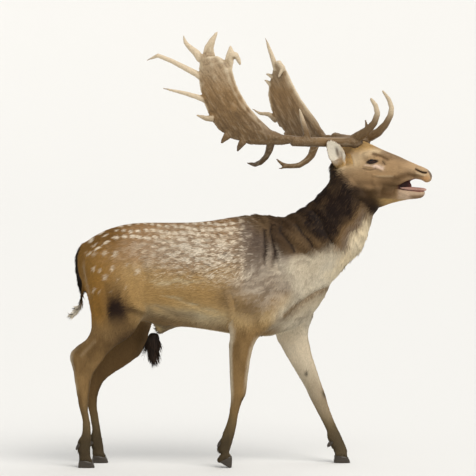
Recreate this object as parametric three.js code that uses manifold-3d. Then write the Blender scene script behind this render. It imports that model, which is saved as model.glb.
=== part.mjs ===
// A life-size fallow deer buck in full stride, mouth open in its rutting call, as a still museum model.
// Millimetres, +Z up. The trunk runs along X with the head towards +X, and the deer's left side is +Y.
// Every form of flesh is a loft: a skin drawn over a row of ribs. The forms are joined into one body,
// and thin plane cuts then part that body into the pieces that a person would name.

import * as THREE from "three";
import { mergeVertices } from "three/addons/utils/BufferGeometryUtils.js";
import Module from "manifold-3d";

const wasm = await Module();
wasm.setup();

// ---------- driving dimensions ----------

const GAP = 0.4; // the clear width of every cut and seat between two pieces
const WITHERS = 891; // height of the top of the shoulder
const POLL = [455, 0, 1053]; // the point about which the head turns, between the ears
const HEAD_TURN = THREE.MathUtils.degToRad(-20); // the head looks 20 degrees to the deer's right
const FORE_CUT = { height: 445, from: -40, to: 520 }; // the forelegs part from the trunk at this height
const HIND_CUT = { height: 476, from: -560, to: -150 }; // and the hind legs here, above the stifle
const LEG_INNER = 36; // the cuts over the legs stay this far out from the middle of the body
const LEG_ZONE = 400; // and reach this much farther out
const NECK_CUT = { point: [318, 0, 758], normal: [0.62, 0, 0.78] }; // the neck parts from the trunk
const HEAD_CUT = { point: [498, 0, 985], normal: [0.86, -0.2, 0.62] }; // and the head from the neck
const JAW_CUT = { point: [203, 0, -77], normal: [-0.06, 0, -1] }; // the jaw parts here, in the head's frame
const RIGHT = -1;
const LEFT = 1;
const EYE = { forward: 113, out: 42, up: 17, radius: 16.5 }; // in the head's frame
const HOOF = { toe: 31, heel: -29, wide: 9.5, height: 40, apart: 11, worn: 4 };
const DEWCLAW = { length: 20, radius: 8, apart: 11 };
const INCISORS = { count: 6, arc: 2.3, radius: 11, centre: 279, root: -95, tip: -80, thick: 2.2 };
const SMOOTH_END = [0.55, 0.87, 1]; // where the rings of a rounded end lie along it
const PLAIN_END = [0.75, 1]; // the same for small pieces
const POINTED_END = [1]; // and for a tip that is a plain cone

// ---------- lofts ----------

const v3 = (x, y, z) => new THREE.Vector3(x, y, z);

// A number between -1 and 1, pushed outwards where round is over 2, which squares a section off.
const squared = (value, round) => Math.sign(value) * Math.abs(value) ** (2 / round);

// The ribs between the given ones. Two smooth lines run along the ends a and b of the ribs, and a third
// one carries the sizes.
function between(ribs, steps) {
  const line = (pick) => new THREE.CatmullRomCurve3(ribs.map(pick), false, "catmullrom", 0.5);
  const ends = [line((r) => r.a), line((r) => r.b)];
  const sizes = line((r) => v3(r.wide, r.egg ?? 0, r.bow ?? 0));
  const rounds = line((r) => v3(r.round ?? 2, 0, 0));
  const count = (ribs.length - 1) * steps;
  return Array.from({ length: count + 1 }, (_, i) => {
    const [a, b] = ends.map((c) => c.getPoint(i / count));
    const size = sizes.getPoint(i / count);
    const centre = a.clone().add(b).multiplyScalar(0.5);
    const up = a.sub(b).multiplyScalar(0.5);
    return { centre, up, wide: size.x, egg: size.y, bow: size.z, round: rounds.getPoint(i / count).x };
  });
}

// A closed body over ribs. A rib is an oval whose long axis runs from its end b to its end a, with wide as
// its other half size. egg makes it wider towards a, bow bends it sideways in the middle, and round above
// 2 squares it. domes are the lengths of the two rounded ends, and a dome of 0 leaves a flat one.
// The body is a sphere whose rings of latitude are laid on the ribs.
function loft(ribs, { sides = 12, steps = 1, domes = [20, 20], grow = 0, end = SMOOTH_END } = {}) {
  const rings = between(ribs, steps);
  rings.forEach((ring, i) => {
    const before = rings[Math.max(i - 1, 0)].centre;
    const after = rings[Math.min(i + 1, rings.length - 1)].centre;
    ring.along = after.clone().sub(before).normalize();
    ring.side = ring.up.clone().cross(ring.along).normalize();
    ring.scale = 1;
  });
  const cap = (ring, length, sign) =>
    (length > 0 ? end : [0]).map((reach) => ({
      ...ring,
      centre: ring.centre.clone().addScaledVector(ring.along, sign * reach * (length + grow)),
      scale: length > 0 ? Math.sqrt(1 - reach * reach) : 0,
    }));
  const all = [...cap(rings[0], domes[0], -1).reverse(), ...rings, ...cap(rings.at(-1), domes[1], 1)];
  if (domes[0] === 0) all[0].centre.addScaledVector(rings[0].along, -grow);
  const geometry = new THREE.SphereGeometry(1, sides, all.length - 1);
  const { position, uv } = geometry.attributes;
  for (let i = 0; i < position.count; i++) {
    const ring = all[Math.round((1 - uv.getY(i)) * (all.length - 1))];
    const angle = (Math.round(i % (sides + 1)) / sides) * 2 * Math.PI;
    const along = squared(Math.cos(angle), ring.round);
    const across = squared(Math.sin(angle), ring.round);
    const half = ring.wide * (1 + ring.egg * along) + grow;
    const point = ring.centre
      .clone()
      .addScaledVector(ring.up, along * ring.scale * (1 + grow / ring.up.length()))
      .addScaledVector(ring.side, (across * half + ring.bow * (1 - along * along)) * ring.scale);
    position.setXYZ(i, point.x, point.y, point.z);
  }
  return solid(geometry);
}

// A horn, tine or tail: a round loft along points given as [x, y, z, radius]. Its sections stand across the
// direction called face, and are no thicker than flat in that direction.
function tapered(points, options = {}) {
  const { face = [0, 1, 0], flat = Infinity, sides = 6, domes = [6, 3], grow = 0 } = options;
  const curve = new THREE.CatmullRomCurve3(points.map(([x, y, z]) => v3(x, y, z)));
  const ribs = points.map(([x, y, z, radius], i) => {
    const along = curve.getTangent(i / (points.length - 1));
    const reach = v3(...face).cross(along).setLength(radius);
    return { a: v3(x, y, z).add(reach), b: v3(x, y, z).sub(reach), wide: Math.min(radius, flat) };
  });
  return loft(ribs, { sides, domes, grow, end: options.end ?? POINTED_END });
}

// ---------- solids ----------

// A three.js geometry as a solid that can be joined and cut.
function solid(geometry, matrix = new THREE.Matrix4()) {
  const bare = geometry.clone().applyMatrix4(matrix);
  bare.deleteAttribute("normal");
  bare.deleteAttribute("uv");
  const merged = mergeVertices(bare, 1e-3);
  const triVerts = Uint32Array.from(merged.index.array);
  const made = (order) =>
    new wasm.Manifold(
      new wasm.Mesh({ numProp: 3, vertProperties: merged.attributes.position.array, triVerts: order }),
    );
  const first = made(triVerts);
  return first.volume() > 0 ? first : made(triVerts.slice().reverse());
}

// A solid as a three.js geometry.
function geometryOf(body) {
  const { numProp, numVert, vertProperties, triVerts } = body.getMesh();
  const corners = new Float32Array(numVert * 3);
  for (let i = 0; i < numVert; i++) {
    corners.set(vertProperties.subarray(i * numProp, i * numProp + 3), i * 3);
  }
  const geometry = new THREE.BufferGeometry();
  geometry.setAttribute("position", new THREE.BufferAttribute(corners, 3));
  geometry.setIndex(new THREE.BufferAttribute(triVerts, 1));
  return geometry;
}

const joined = (bodies) => bodies.reduce((sum, body) => sum.add(body));
const without = (body, tools) => tools.reduce((rest, tool) => rest.subtract(tool), body);
const bySize = (body) => body.decompose().sort((p, q) => q.volume() - p.volume());
const largest = (body) => bySize(body)[0];

// Everything behind the plane through point whose outward normal is given.
function behind(point, normal) {
  const size = 5000;
  const turn = new THREE.Quaternion().setFromUnitVectors(v3(0, 0, 1), v3(...normal).normalize());
  const centre = v3(0, 0, -size / 2).applyQuaternion(turn).add(v3(...point));
  const place = new THREE.Matrix4().compose(centre, turn, v3(1, 1, 1));
  return solid(new THREE.BoxGeometry(size, size, size), place);
}

// A body parted by a plane: [what is behind it, what is in front], with the gap between them.
function parted(body, point, normal) {
  const n = v3(...normal).normalize();
  const shifted = (distance) => v3(...point).addScaledVector(n, distance).toArray();
  return [
    body.intersect(behind(shifted(-GAP / 2), normal)),
    body.intersect(behind(shifted(GAP / 2), n.clone().negate().toArray())),
  ];
}

// ---------- trunk, neck, tail ----------

// Upright ribs of the trunk, from the rump to the breast: x, back line, belly line, half width, egg.
const TRUNK = [
  [-468, 770, 655, 50, 0],
  [-436, 806, 590, 92, 0],
  [-388, 830, 548, 116, -0.05],
  [-315, 853, 520, 122, -0.1],
  [-245, 859, 502, 126, -0.12],
  [-158, 857, 489, 142, -0.1],
  [-70, 857, 481, 153, -0.1],
  [0, 866, 470, 150, -0.14],
  [70, 880, 458, 136, -0.2],
  [140, WITHERS, 449, 120, -0.26],
  [210, 886, 455, 102, -0.22],
  [280, 846, 478, 86, -0.05],
  [342, 782, 522, 66, 0.05],
  [384, 705, 575, 40, 0.05],
];

function trunk() {
  const ribs = TRUNK.map(([x, top, bottom, wide, egg]) => ({
    a: v3(x, 0, top),
    b: v3(x, 0, bottom),
    wide,
    egg,
    round: 2.15,
  }));
  return loft(ribs, { sides: 14, domes: [14, 18] });
}

// Ribs of the thick rutting neck: crest x and z, throat x and z, half width, and how far the rib's centre
// lies to the side as the neck bends towards the turned head.
const NECK = [
  [232, 876, 385, 600, 84, 0],
  [300, 909, 470, 706, 84, 0],
  [352, 950, 522, 756, 78, -3],
  [380, 983, 539, 810, 73, -8],
  [404, 1014, 556, 862, 68, -14],
  [428, 1046, 574, 905, 60, -22],
];

function neck(grow = 0) {
  const ribs = NECK.map(([crestX, crestZ, throatX, throatZ, wide, y]) => ({
    a: v3(crestX, y, crestZ),
    b: v3(throatX, y, throatZ),
    wide,
    egg: 0.08,
  }));
  return loft(ribs, { sides: 12, domes: [16, 12], grow });
}

// The tail hangs down the rump and flicks out at its end.
const TAIL = [
  [-450, 0, 789, 11],
  [-471, 0, 762, 13],
  [-482, 0, 735, 13],
  [-484, 0, 694, 12],
  [-479, 0, 650, 11.5],
  [-468, 0, 608, 11],
  [-462, -2, 576, 10],
  [-472, -5, 550, 8],
  [-494, -8, 530, 5.5],
  [-517, -10, 515, 2.5],
];
const tail = (grow = 0) => tapered(TAIL, { sides: 7, domes: [8, 2], grow });

// The sheath under the belly, with the brush of long dark hair that hangs from it.
const SHEATH = [
  [-120, 0, 505, 18],
  [-165, 0, 488, 19],
  [-200, 0, 468, 20],
  [-222, 0, 452, 15],
];
const BRUSH = [
  [-214, 0, 462, 25],
  [-216, 0, 438, 31],
  [-217, 0, 408, 28],
  [-218, 0, 374, 20],
  [-218, 0, 345, 8],
];
const brush = (grow = 0) => tapered(BRUSH, { sides: 8, domes: [12, 12], grow, end: PLAIN_END });

const SCROTUM = [
  [-350, 0, 545, 25],
  [-361, 0, 505, 30],
  [-366, 0, 474, 26],
];

// ---------- legs ----------

// Ribs of a leg from the top down: front x and z, back x and z, distance out from the middle, half width.
// The two forelegs and the two hind legs are the same limbs at different moments of the stride.
const LEGS = {
  fore_right: [
    [262, 796, 105, 813, 60, 34],
    [298, 698, 88, 719, 82, 42],
    [315, 603, 60, 614, 90, 46],
    [250, 516, 49, 523, 94, 44],
    [166, 467, 46, 470, 96, 37],
    [138, 432, 47, 435, 96, 32],
    [127, 390, 48, 390, 96, 28],
    [118, 334, 50, 334, 95, 24],
    [113, 292, 53, 290, 94, 24],
    [109, 258, 54, 258, 93, 24],
    [93, 226, 54, 230, 91, 19],
    [83, 190, 50, 196, 89, 14.5],
    [76, 146, 41, 156, 87, 14.5],
    [69, 112, 28, 127, 84, 18],
    [58, 78, 19, 94, 80, 19.5],
    [48, 48, 10, 64, 78, 20],
  ],
  fore_left: [
    [270, 786, 122, 804, 60, 34],
    [326, 688, 122, 709, 82, 42],
    [360, 594, 140, 594, 90, 46],
    [360, 527, 172, 513, 92, 42],
    [336, 478, 200, 464, 93, 36],
    [331, 436, 222, 426, 92, 31],
    [343, 380, 250, 376, 92, 27],
    [361, 324, 286, 316, 91, 24],
    [377, 276, 316, 266, 90, 24],
    [391, 237, 334, 226, 89, 24],
    [401, 200, 354, 188, 88, 19],
    [414, 165, 373, 152, 87, 14.5],
    [430, 128, 391, 116, 85, 14.5],
    [446, 95, 402, 82, 83, 18],
    [458, 67, 414, 52, 82, 19.5],
    [468, 40, 424, 26, 80, 20],
  ],
  hind_right: [
    [-262, 778, -444, 778, 62, 42],
    [-228, 684, -470, 698, 78, 56],
    [-222, 598, -461, 618, 86, 60],
    [-240, 528, -439, 546, 88, 55],
    [-282, 462, -435, 488, 90, 43],
    [-338, 430, -452, 452, 91, 33],
    [-372, 398, -478, 430, 92, 25],
    [-400, 358, -502, 412, 92, 20],
    [-424, 322, -508, 390, 92, 21],
    [-432, 290, -495, 342, 91, 20],
    [-436, 250, -488, 292, 90, 16.5],
    [-442, 200, -475, 218, 88, 14.5],
    [-434, 158, -462, 168, 86, 14.5],
    [-431, 118, -463, 124, 84, 17],
    [-432, 88, -474, 96, 82, 19.5],
    [-435, 60, -476, 62, 81, 19.5],
    [-434, 32, -474, 32, 80, 20],
  ],
  hind_left: [
    [-256, 769, -430, 769, 62, 42],
    [-206, 664, -446, 688, 78, 56],
    [-198, 569, -440, 604, 86, 60],
    [-214, 489, -422, 527, 88, 54],
    [-240, 419, -412, 471, 90, 44],
    [-264, 378, -415, 433, 91, 36],
    [-308, 346, -428, 396, 92, 28],
    [-356, 316, -447, 366, 92, 23],
    [-390, 288, -468, 342, 92, 20],
    [-406, 258, -474, 314, 91, 21],
    [-414, 229, -468, 268, 90, 19],
    [-416, 196, -455, 218, 88, 15.5],
    [-410, 154, -443, 168, 86, 14.5],
    [-403, 110, -435, 120, 84, 16],
    [-397, 78, -438, 84, 82, 19],
    [-393, 52, -434, 54, 81, 19.5],
    [-394, 30, -434, 30, 80, 20],
  ],
};

function leg(name, side) {
  const ribs = LEGS[name].map(([frontX, frontZ, backX, backZ, out, wide]) => ({
    a: v3(frontX, side * out, frontZ),
    b: v3(backX, side * out, backZ),
    wide,
    round: 2.1,
  }));
  return loft(ribs, { sides: 8, domes: [26, 6], end: POINTED_END });
}

// Where each foot stands: the middle of its sole, how far it is out from the middle of the body, and how
// far the heel is lifted. Dewclaws hang behind the pastern at [x, z].
const FEET = {
  fore_right: { x: 27, out: 77, lift: 30, dewclaw: [17, 84] },
  fore_left: { x: 447, out: 79, lift: 0, dewclaw: [404, 66] },
  hind_right: { x: -449, out: 79, lift: 0, dewclaw: [-476, 76] },
  hind_left: { x: -407, out: 79, lift: 0, dewclaw: [-440, 66] },
};

// Ribs of one toe of the hoof, as shares of its height and of its width: a sloping front wall, a steep heel
// and a rounded coronet.
const TOE_RIBS = [
  { up: 0, front: 0, back: 0, wide: 1, round: 2.4 },
  { up: 0.32, front: 5, back: 1, wide: 1, round: 2.4 },
  { up: 0.7, front: 13, back: 3, wide: 0.95, round: 2.2 },
  { up: 0.9, front: 19, back: 8, wide: 0.8, round: 2 },
];

// One cloven toe. A foot with a lifted heel stands on a small flat worn at the tip of each toe.
function toe(foot, side, lane, grow = 0) {
  const ribs = TOE_RIBS.map(({ up, front, back, wide, round }) => ({
    a: v3(HOOF.toe - front, 0, HOOF.height * up * 1.03),
    b: v3(HOOF.heel + back, 0, HOOF.height * up * 0.97),
    wide: HOOF.wide * wide,
    round,
  }));
  const sunk = foot.lift ? HOOF.worn : 0;
  const place = new THREE.Matrix4()
    .makeTranslation(foot.x + HOOF.toe, side * foot.out + lane * HOOF.apart, -sunk)
    .multiply(new THREE.Matrix4().makeRotationY(THREE.MathUtils.degToRad(foot.lift)))
    .multiply(new THREE.Matrix4().makeTranslation(-HOOF.toe, 0, 0));
  const body = loft(ribs, { sides: 8, domes: [0, 4], grow, end: POINTED_END });
  const whole = solid(geometryOf(body), place);
  return grow ? whole : whole.intersect(behind([0, 0, 0], [0, 0, -1]));
}

// A small horny claw behind the pastern, pointing down and back.
function dewclaw(foot, side, lane, grow = 0) {
  const { length, radius, apart } = DEWCLAW;
  const [x, z] = foot.dewclaw;
  const y = side * foot.out + lane * apart;
  const points = [
    [x + length * 0.45, y, z + length * 0.4, radius * 0.95],
    [x - length * 0.05, y + lane, z - length * 0.05, radius],
    [x - length * 0.35, y + lane * 1.5, z - length * 0.6, radius * 0.7],
  ];
  return tapered(points, { sides: 5, domes: [4, 4], grow });
}

// ---------- head ----------

// The head's own frame has its origin at the poll, x towards the nose, y to the deer's left, z up.
const HEAD_PLACE = new THREE.Matrix4()
  .makeTranslation(...POLL)
  .multiply(new THREE.Matrix4().makeRotationZ(HEAD_TURN));
const onHead = (body) => solid(geometryOf(body), HEAD_PLACE);

// Ribs of the skull and upper jaw: top x and z, bottom x and z, half width, egg, round. The upper lip is
// arched over the open mouth.
const SKULL = [
  [-44, 28, -30, -70, 44, 0, 2],
  [-22, 60, -12, -92, 55, 0, 2],
  [26, 82, 25, -98, 60, 0.02, 2],
  [72, 84, 68, -92, 62, 0.12, 2.1],
  [104, 71, 105, -84, 58, 0.16, 2.1],
  [138, 56, 140, -76, 47, 0.05, 2.1],
  [168, 45, 170, -74, 38, -0.1, 2.1],
  [200, 33, 200, -72, 33, -0.12, 2.1],
  [230, 19, 232, -55, 29, -0.08, 2.2],
  [256, 8, 258, -45, 27, 0, 2.3],
  [282, -3, 280, -48, 27, 0, 2.3],
  [300, -11, 297, -57, 27, 0, 2.4],
  [310, -19, 306, -55, 22, 0, 2.4],
];

// Ribs of the lower jaw, from the cheek to the chin, in the same order.
const JAW = [
  [56, -20, 84, -150, 42, -0.1, 2],
  [110, -50, 128, -148, 40, -0.15, 2],
  [160, -62, 168, -132, 33, -0.15, 2],
  [200, -76, 206, -122, 26, -0.1, 2.2],
  [236, -81, 238, -116, 21, 0.1, 2.3],
  [266, -83, 264, -114, 18, 0.15, 2.4],
  [286, -85, 281, -110, 15, 0.2, 2.4],
];

// A loft over ribs of the head, which all stand in its middle plane.
const headLoft = (rows, options) =>
  loft(
    rows.map(([topX, topZ, bottomX, bottomZ, wide, egg, round]) => ({
      a: v3(topX, 0, topZ),
      b: v3(bottomX, 0, bottomZ),
      wide,
      egg,
      round,
    })),
    options,
  );

// The tongue lies along the floor of the mouth.
const TONGUE = [
  [168, -66, 168, -82, 11, 0, 2],
  [205, -70, 205, -85, 13, 0, 2],
  [245, -72, 245, -88, 14.5, 0, 2.2],
  [275, -74, 275, -88, 14, 0, 2.2],
  [291, -76, 290, -87, 12, 0, 2.2],
];
const tongue = (grow = 0) => headLoft(TONGUE, { sides: 8, domes: [6, 9], grow, end: PLAIN_END });

// The lower front teeth, in an arc along the tip of the jaw.
function incisors() {
  const { count, arc, radius, centre, root, tip, thick } = INCISORS;
  return Array.from({ length: count }, (_, i) => {
    const angle = ((i + 0.5) / count - 0.5) * arc;
    const x = centre + radius * Math.cos(angle);
    const y = radius * Math.sin(angle);
    const points = [
      [x - 2, y, root, thick],
      [x + 1, y, tip, thick],
    ];
    return tapered(points, { sides: 4, domes: [0, 0] });
  });
}

// The bony ridge over the eye socket.
const ORBIT = [
  [84, 46, 34, 15],
  [106, 50, 32, 17],
  [130, 42, 28, 13],
];

// The hairy bone stub under each antler.
const PEDICLE = [
  [46, 28, 40, 19],
  [48, 33, 64, 18],
  [50, 38, 80, 17],
];

// A tapered form given for the left side, on either side of the head.
const sided = (rows, side, options) =>
  tapered(
    rows.map(([x, y, z, radius]) => [x, side * y, z, radius]),
    options,
  );
const orbit = (side) => sided(ORBIT, side, { sides: 7, domes: [8, 8] });
const pedicle = (side) => sided(PEDICLE, side, { sides: 7, domes: [0, 4] });

// An ear is a bent leaf. Its own frame has z along its length, x across it and its hollow towards +y. Each
// rib is its height, the reach of its back edge and of its front edge, how far it leans to the hollow side,
// its half thickness and its bend.
const EAR = [
  [-12, 13, 15, 0, 14, 0],
  [16, 19, 22, 0, 13, 5],
  [44, 24, 32, 1, 8, 12],
  [78, 26, 35, 3, 5, 14],
  [110, 22, 30, 4, 4, 12],
  [134, 17, 17, 4, 3.5, 7],
  [150, 12, 6, 3, 3, 2],
];

// How the right ear is set: where it grows from, the way it points and the way its hollow looks.
const EAR_SEAT = { root: [3, -54, -7], length: [-0.04, -0.755, 0.653], hollow: [0.53, -0.6, -0.59] };

function ear(side) {
  const ribs = EAR.map(([z, back, front, lean, wide, bow]) => ({
    a: v3(back, lean, z),
    b: v3(-front, lean, z),
    wide,
    bow,
  }));
  const length = v3(...EAR_SEAT.length).normalize();
  const across = v3(...EAR_SEAT.hollow).cross(length).normalize();
  const facing = length.clone().cross(across);
  const turn = new THREE.Matrix4().makeBasis(across, facing, length).setPosition(...EAR_SEAT.root);
  const right = solid(geometryOf(loft(ribs, { sides: 8, domes: [8, 4], end: POINTED_END })), turn);
  return side === RIGHT ? right : mirrored(right);
}

const mirrored = (body) => solid(geometryOf(body), new THREE.Matrix4().makeScale(1, -1, 1));

function eye(side, grow = 0) {
  const ball = new THREE.SphereGeometry(EYE.radius + grow, 10, 6);
  const place = new THREE.Matrix4().makeTranslation(EYE.forward, side * EYE.out, EYE.up);
  return onHead(solid(ball, place));
}

// ---------- antlers ----------

// Both antlers are given in the head's frame, with y as the distance out from the middle of the head.
// The beam runs back and outwards from the burr, and the palm rises from its end.
const BEAM = [
  [52, 41, 82, 23],
  [47, 47, 84, 19],
  [28, 68, 84, 16.5],
  [-12, 118, 84, 15.5],
  [-52, 165, 85, 15.5],
  [-88, 205, 87, 16],
  [-116, 229, 90, 17],
];

// The tine over the brow, the short spike on it, the middle tine, the hooked back tine and the fork of
// the left one.
const BROW = {
  right: [
    [40, 44, 92, 14],
    [62, 47, 101, 16],
    [98, 52, 122, 14],
    [126, 58, 150, 10.5],
    [140, 64, 182, 8.5],
    [134, 69, 212, 7],
    [118, 72, 234, 3.5],
  ],
  left: [
    [42, 44, 88, 14],
    [68, 47, 95, 16.5],
    [106, 50, 115, 14],
    [131, 55, 143, 10.5],
    [147, 60, 174, 9],
    [150, 64, 201, 7.5],
    [138, 69, 230, 6],
    [115, 72, 258, 3],
  ],
};
const SPIKE = [
  [93, 52, 118, 6],
  [97, 52, 137, 5],
  [92, 52, 158, 2.5],
];
const MIDDLE_TINE = [
  [-76, 190, 96, 15],
  [-79, 192, 124, 9.5],
  [-88, 196, 156, 7],
  [-99, 201, 198, 2.5],
];
const BACK_TINE = {
  right: [
    [-188, 246, 86, 16],
    [-197, 240, 55, 11],
    [-213, 226, 33, 9],
    [-239, 206, 14, 8],
    [-268, 186, 4, 6.5],
    [-303, 166, 9, 2.5],
  ],
  left: [
    [-192, 246, 70, 16],
    [-206, 236, 24, 12],
    [-219, 222, 6, 10],
    [-240, 203, -10, 8.5],
    [-270, 178, -13, 7],
    [-290, 160, -4, 5],
    [-306, 150, 12, 2.5],
  ],
};
const BACK_FORK = [
  [-268, 180, -11, 6],
  [-297, 151, -20, 2.5],
];

// Ribs of the palms: front edge x, out, z, back edge x, out, z, half thickness. They bow towards the head
// and are thicker along the front edge.
const PALM = {
  right: [
    [-112, 226, 106, -114, 230, 82, 15],
    [-150, 234, 110, -148, 242, 77, 15],
    [-190, 246, 128, -196, 258, 75, 14],
    [-227, 257, 165, -256, 275, 78, 13],
    [-259, 270, 205, -315, 294, 97, 12],
    [-283, 285, 249, -358, 309, 130, 11],
    [-297, 297, 286, -388, 321, 173, 11],
    [-305, 304, 318, -406, 328, 225, 11],
    [-311, 306, 342, -420, 330, 278, 11],
    [-330, 302, 366, -424, 326, 332, 10],
    [-360, 296, 378, -424, 316, 372, 9],
  ],
  left: [
    [-114, 226, 97, -116, 230, 70, 15],
    [-157, 235, 98, -168, 241, 64, 15],
    [-177, 246, 125, -226, 258, 64, 14],
    [-199, 257, 157, -275, 275, 75, 13],
    [-232, 270, 192, -316, 294, 97, 12],
    [-263, 285, 227, -355, 309, 128, 11],
    [-289, 297, 263, -384, 321, 174, 11],
    [-310, 304, 299, -402, 328, 232, 11],
    [-326, 306, 328, -400, 330, 276, 10],
    [-338, 302, 348, -386, 326, 312, 9],
    [-350, 296, 356, -376, 314, 336, 8],
  ],
};

// The points of a palm's rim, each from inside the palm to its tip: [x, out, z, radius].
const POINTS = {
  right: [
    [
      [-326, 306, 334, 15], [-322, 300, 366, 16], [-318, 294, 389, 15], [-322, 286, 416, 2.5],
    ],
    [
      [-317, 296, 383, 14], [-301, 290, 385, 12], [-293, 284, 369, 7], [-289, 280, 353, 3],
    ],
    [
      [-390, 306, 357, 24], [-398, 300, 389, 22], [-398, 294, 412, 16], [-389, 288, 435, 10],
      [-374, 282, 463, 3],
    ],
    [
      [-419, 312, 369, 16], [-439, 314, 394, 12], [-462, 312, 412, 8], [-480, 307, 428, 6],
      [-489, 302, 451, 2],
    ],
    [
      [-405, 322, 304, 15], [-433, 330, 322, 10.5], [-513, 354, 365, 7], [-560, 365, 384, 6.3],
      [-600, 362, 368, 2],
    ],
    [
      [-399, 324, 234, 14], [-425, 336, 241, 8], [-466, 350, 254, 6], [-538, 370, 271, 2.3],
    ],
    [
      [-372, 322, 168, 14], [-395, 334, 168, 8], [-422, 348, 178, 2.5],
    ],
    [
      [-323, 306, 110, 15], [-335, 314, 96, 8], [-343, 318, 83, 3],
    ],
    [
      [-273, 290, 90, 14], [-283, 296, 73, 9], [-291, 300, 56, 3],
    ],
  ],
  left: [
    [
      [-361, 306, 328, 12], [-371, 296, 364, 8], [-383, 287, 404, 5.5], [-393, 274, 442, 2],
    ],
    [
      [-345, 306, 322, 20], [-349, 299, 344, 17], [-351, 294, 358, 9],
    ],
    [
      [-336, 300, 342, 9], [-341, 296, 322, 6.5], [-349, 292, 304, 3],
    ],
    [
      [-380, 322, 301, 8], [-398, 326, 310, 5], [-408, 328, 313, 2.5],
    ],
    [
      [-388, 326, 272, 8], [-406, 332, 286, 5], [-418, 336, 291, 2.5],
    ],
    [
      [-365, 318, 150, 16], [-401, 326, 169, 7], [-434, 330, 171, 5], [-462, 332, 186, 2],
    ],
    [
      [-300, 290, 95, 14], [-318, 296, 94, 7], [-330, 300, 101, 3],
    ],
    [
      [-255, 262, 66, 12], [-282, 268, 45, 8], [-296, 270, 32, 3],
    ],
  ],
};
const PALM_FACE = [0.25, 0.97, 0]; // the direction that a palm's broad side faces
const POINT_FLAT = 9.5; // the most that a point of the rim is thick, either way from its middle

const beam = (grow = 0) => tapered(BEAM, { sides: 8, domes: [3, 8], grow });
const brow = (word, grow = 0) => tapered(BROW[word], { sides: 7, grow });
const plate = (word, grow = 0) =>
  loft(
    PALM[word].map(([frontX, frontOut, frontZ, backX, backOut, backZ, wide]) => ({
      a: v3(frontX, frontOut, frontZ),
      b: v3(backX, backOut, backZ),
      wide,
      egg: 0.3,
      bow: -wide * 0.6,
      round: 2.2,
    })),
    { sides: 8, domes: [4, 6], grow, end: POINTED_END },
  );

// The pieces of one antler as a left one. Each is cut by its neighbours, grown by the gap.
function antler(word) {
  const rim = { face: PALM_FACE, flat: POINT_FLAT, sides: 5, domes: [0, 3] };
  const points = POINTS[word].map((rows) => tapered(rows, rim));
  const spike = word === "right" ? [tapered(SPIKE)] : [];
  const fork = word === "left" ? [tapered(BACK_FORK)] : [];
  const pieces = {
    beam: beam(),
    brow_tine: joined([brow(word), ...spike]).subtract(beam(GAP)),
    palm: joined([plate(word), ...points]).subtract(beam(GAP)),
    back_tine: without(joined([tapered(BACK_TINE[word]), ...fork]), [beam(GAP), plate(word, GAP)]),
  };
  if (word === "right") {
    pieces.middle_tine = without(tapered(MIDDLE_TINE), [beam(GAP), plate(word, GAP)]);
  }
  return pieces;
}

// ---------- the deer ----------

const COLOURS = {
  coat: { color: 0x9a7448, roughness: 0.9 },
  neck: { color: 0x4a3528, roughness: 0.95 },
  pale: { color: 0xcbb497, roughness: 0.9 },
  dark: { color: 0x241a14, roughness: 0.95 },
  antler: { color: 0x9c7a58, roughness: 0.6 },
  horn: { color: 0x2a2420, roughness: 0.45 },
  eye: { color: 0x0d0907, roughness: 0.08 },
  tongue: { color: 0xc98c84, roughness: 0.4 },
};

const deer = new THREE.Group();

function node(name, body, colour) {
  const geometry = geometryOf(largest(body));
  geometry.computeVertexNormals();
  const mesh = new THREE.Mesh(geometry, new THREE.MeshStandardMaterial(COLOURS[colour]));
  mesh.name = name;
  deer.add(mesh);
}

const SIDES = [
  ["right", RIGHT],
  ["left", LEFT],
];

// Hooves, dewclaws, eyes and antlers, and the seats that they leave in the flesh.
const seats = [];
for (const [word, side] of SIDES) {
  for (const end of ["fore", "hind"]) {
    const foot = FEET[`${end}_${word}`];
    for (const [lane, which] of [[1, "a"], [-1, "b"]]) {
      node(`hoof_${end}_${word}_${which}`, toe(foot, side, lane), "horn");
      node(`dewclaw_${end}_${word}_${which}`, dewclaw(foot, side, lane), "horn");
      seats.push(toe(foot, side, lane, GAP), dewclaw(foot, side, lane, GAP));
    }
  }
  node(`eye_${word}`, eye(side), "eye");
  const handed = (body) => onHead(side === RIGHT ? mirrored(body) : body);
  for (const [piece, body] of Object.entries(antler(word))) {
    node(`antler_${word}_${piece}`, handed(body), "antler");
  }
  seats.push(eye(side, GAP), handed(beam(GAP)), handed(brow(word, GAP)));
}

node("tongue", onHead(tongue()), "tongue");
node("tail", tail(), "dark");
node("brush", brush(), "dark");
seats.push(onHead(tongue(GAP)), tail(GAP), brush(GAP));

// The whole body of flesh but for the ears, with a seat for every separate piece.
const skull = (grow = 0) => headLoft(SKULL, { sides: 12, domes: [18, 8], grow });
const jaw = joined([headLoft(JAW, { sides: 10, domes: [10, 7], end: PLAIN_END }), ...incisors()]);
const bones = [pedicle(RIGHT), pedicle(LEFT), orbit(RIGHT), orbit(LEFT)];
const head = joined([skull(), jaw, ...bones]);
const sheath = tapered(SHEATH, { sides: 8, domes: [10, 10], end: PLAIN_END });
const scrotum = tapered(SCROTUM, { sides: 8, domes: [10, 18], end: PLAIN_END });
const limbs = [
  leg("fore_right", RIGHT),
  leg("hind_right", RIGHT),
  leg("fore_left", LEFT),
  leg("hind_left", LEFT),
];
const flesh = without(joined([trunk(), neck(), onHead(head), sheath, scrotum, ...limbs]), seats);

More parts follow.
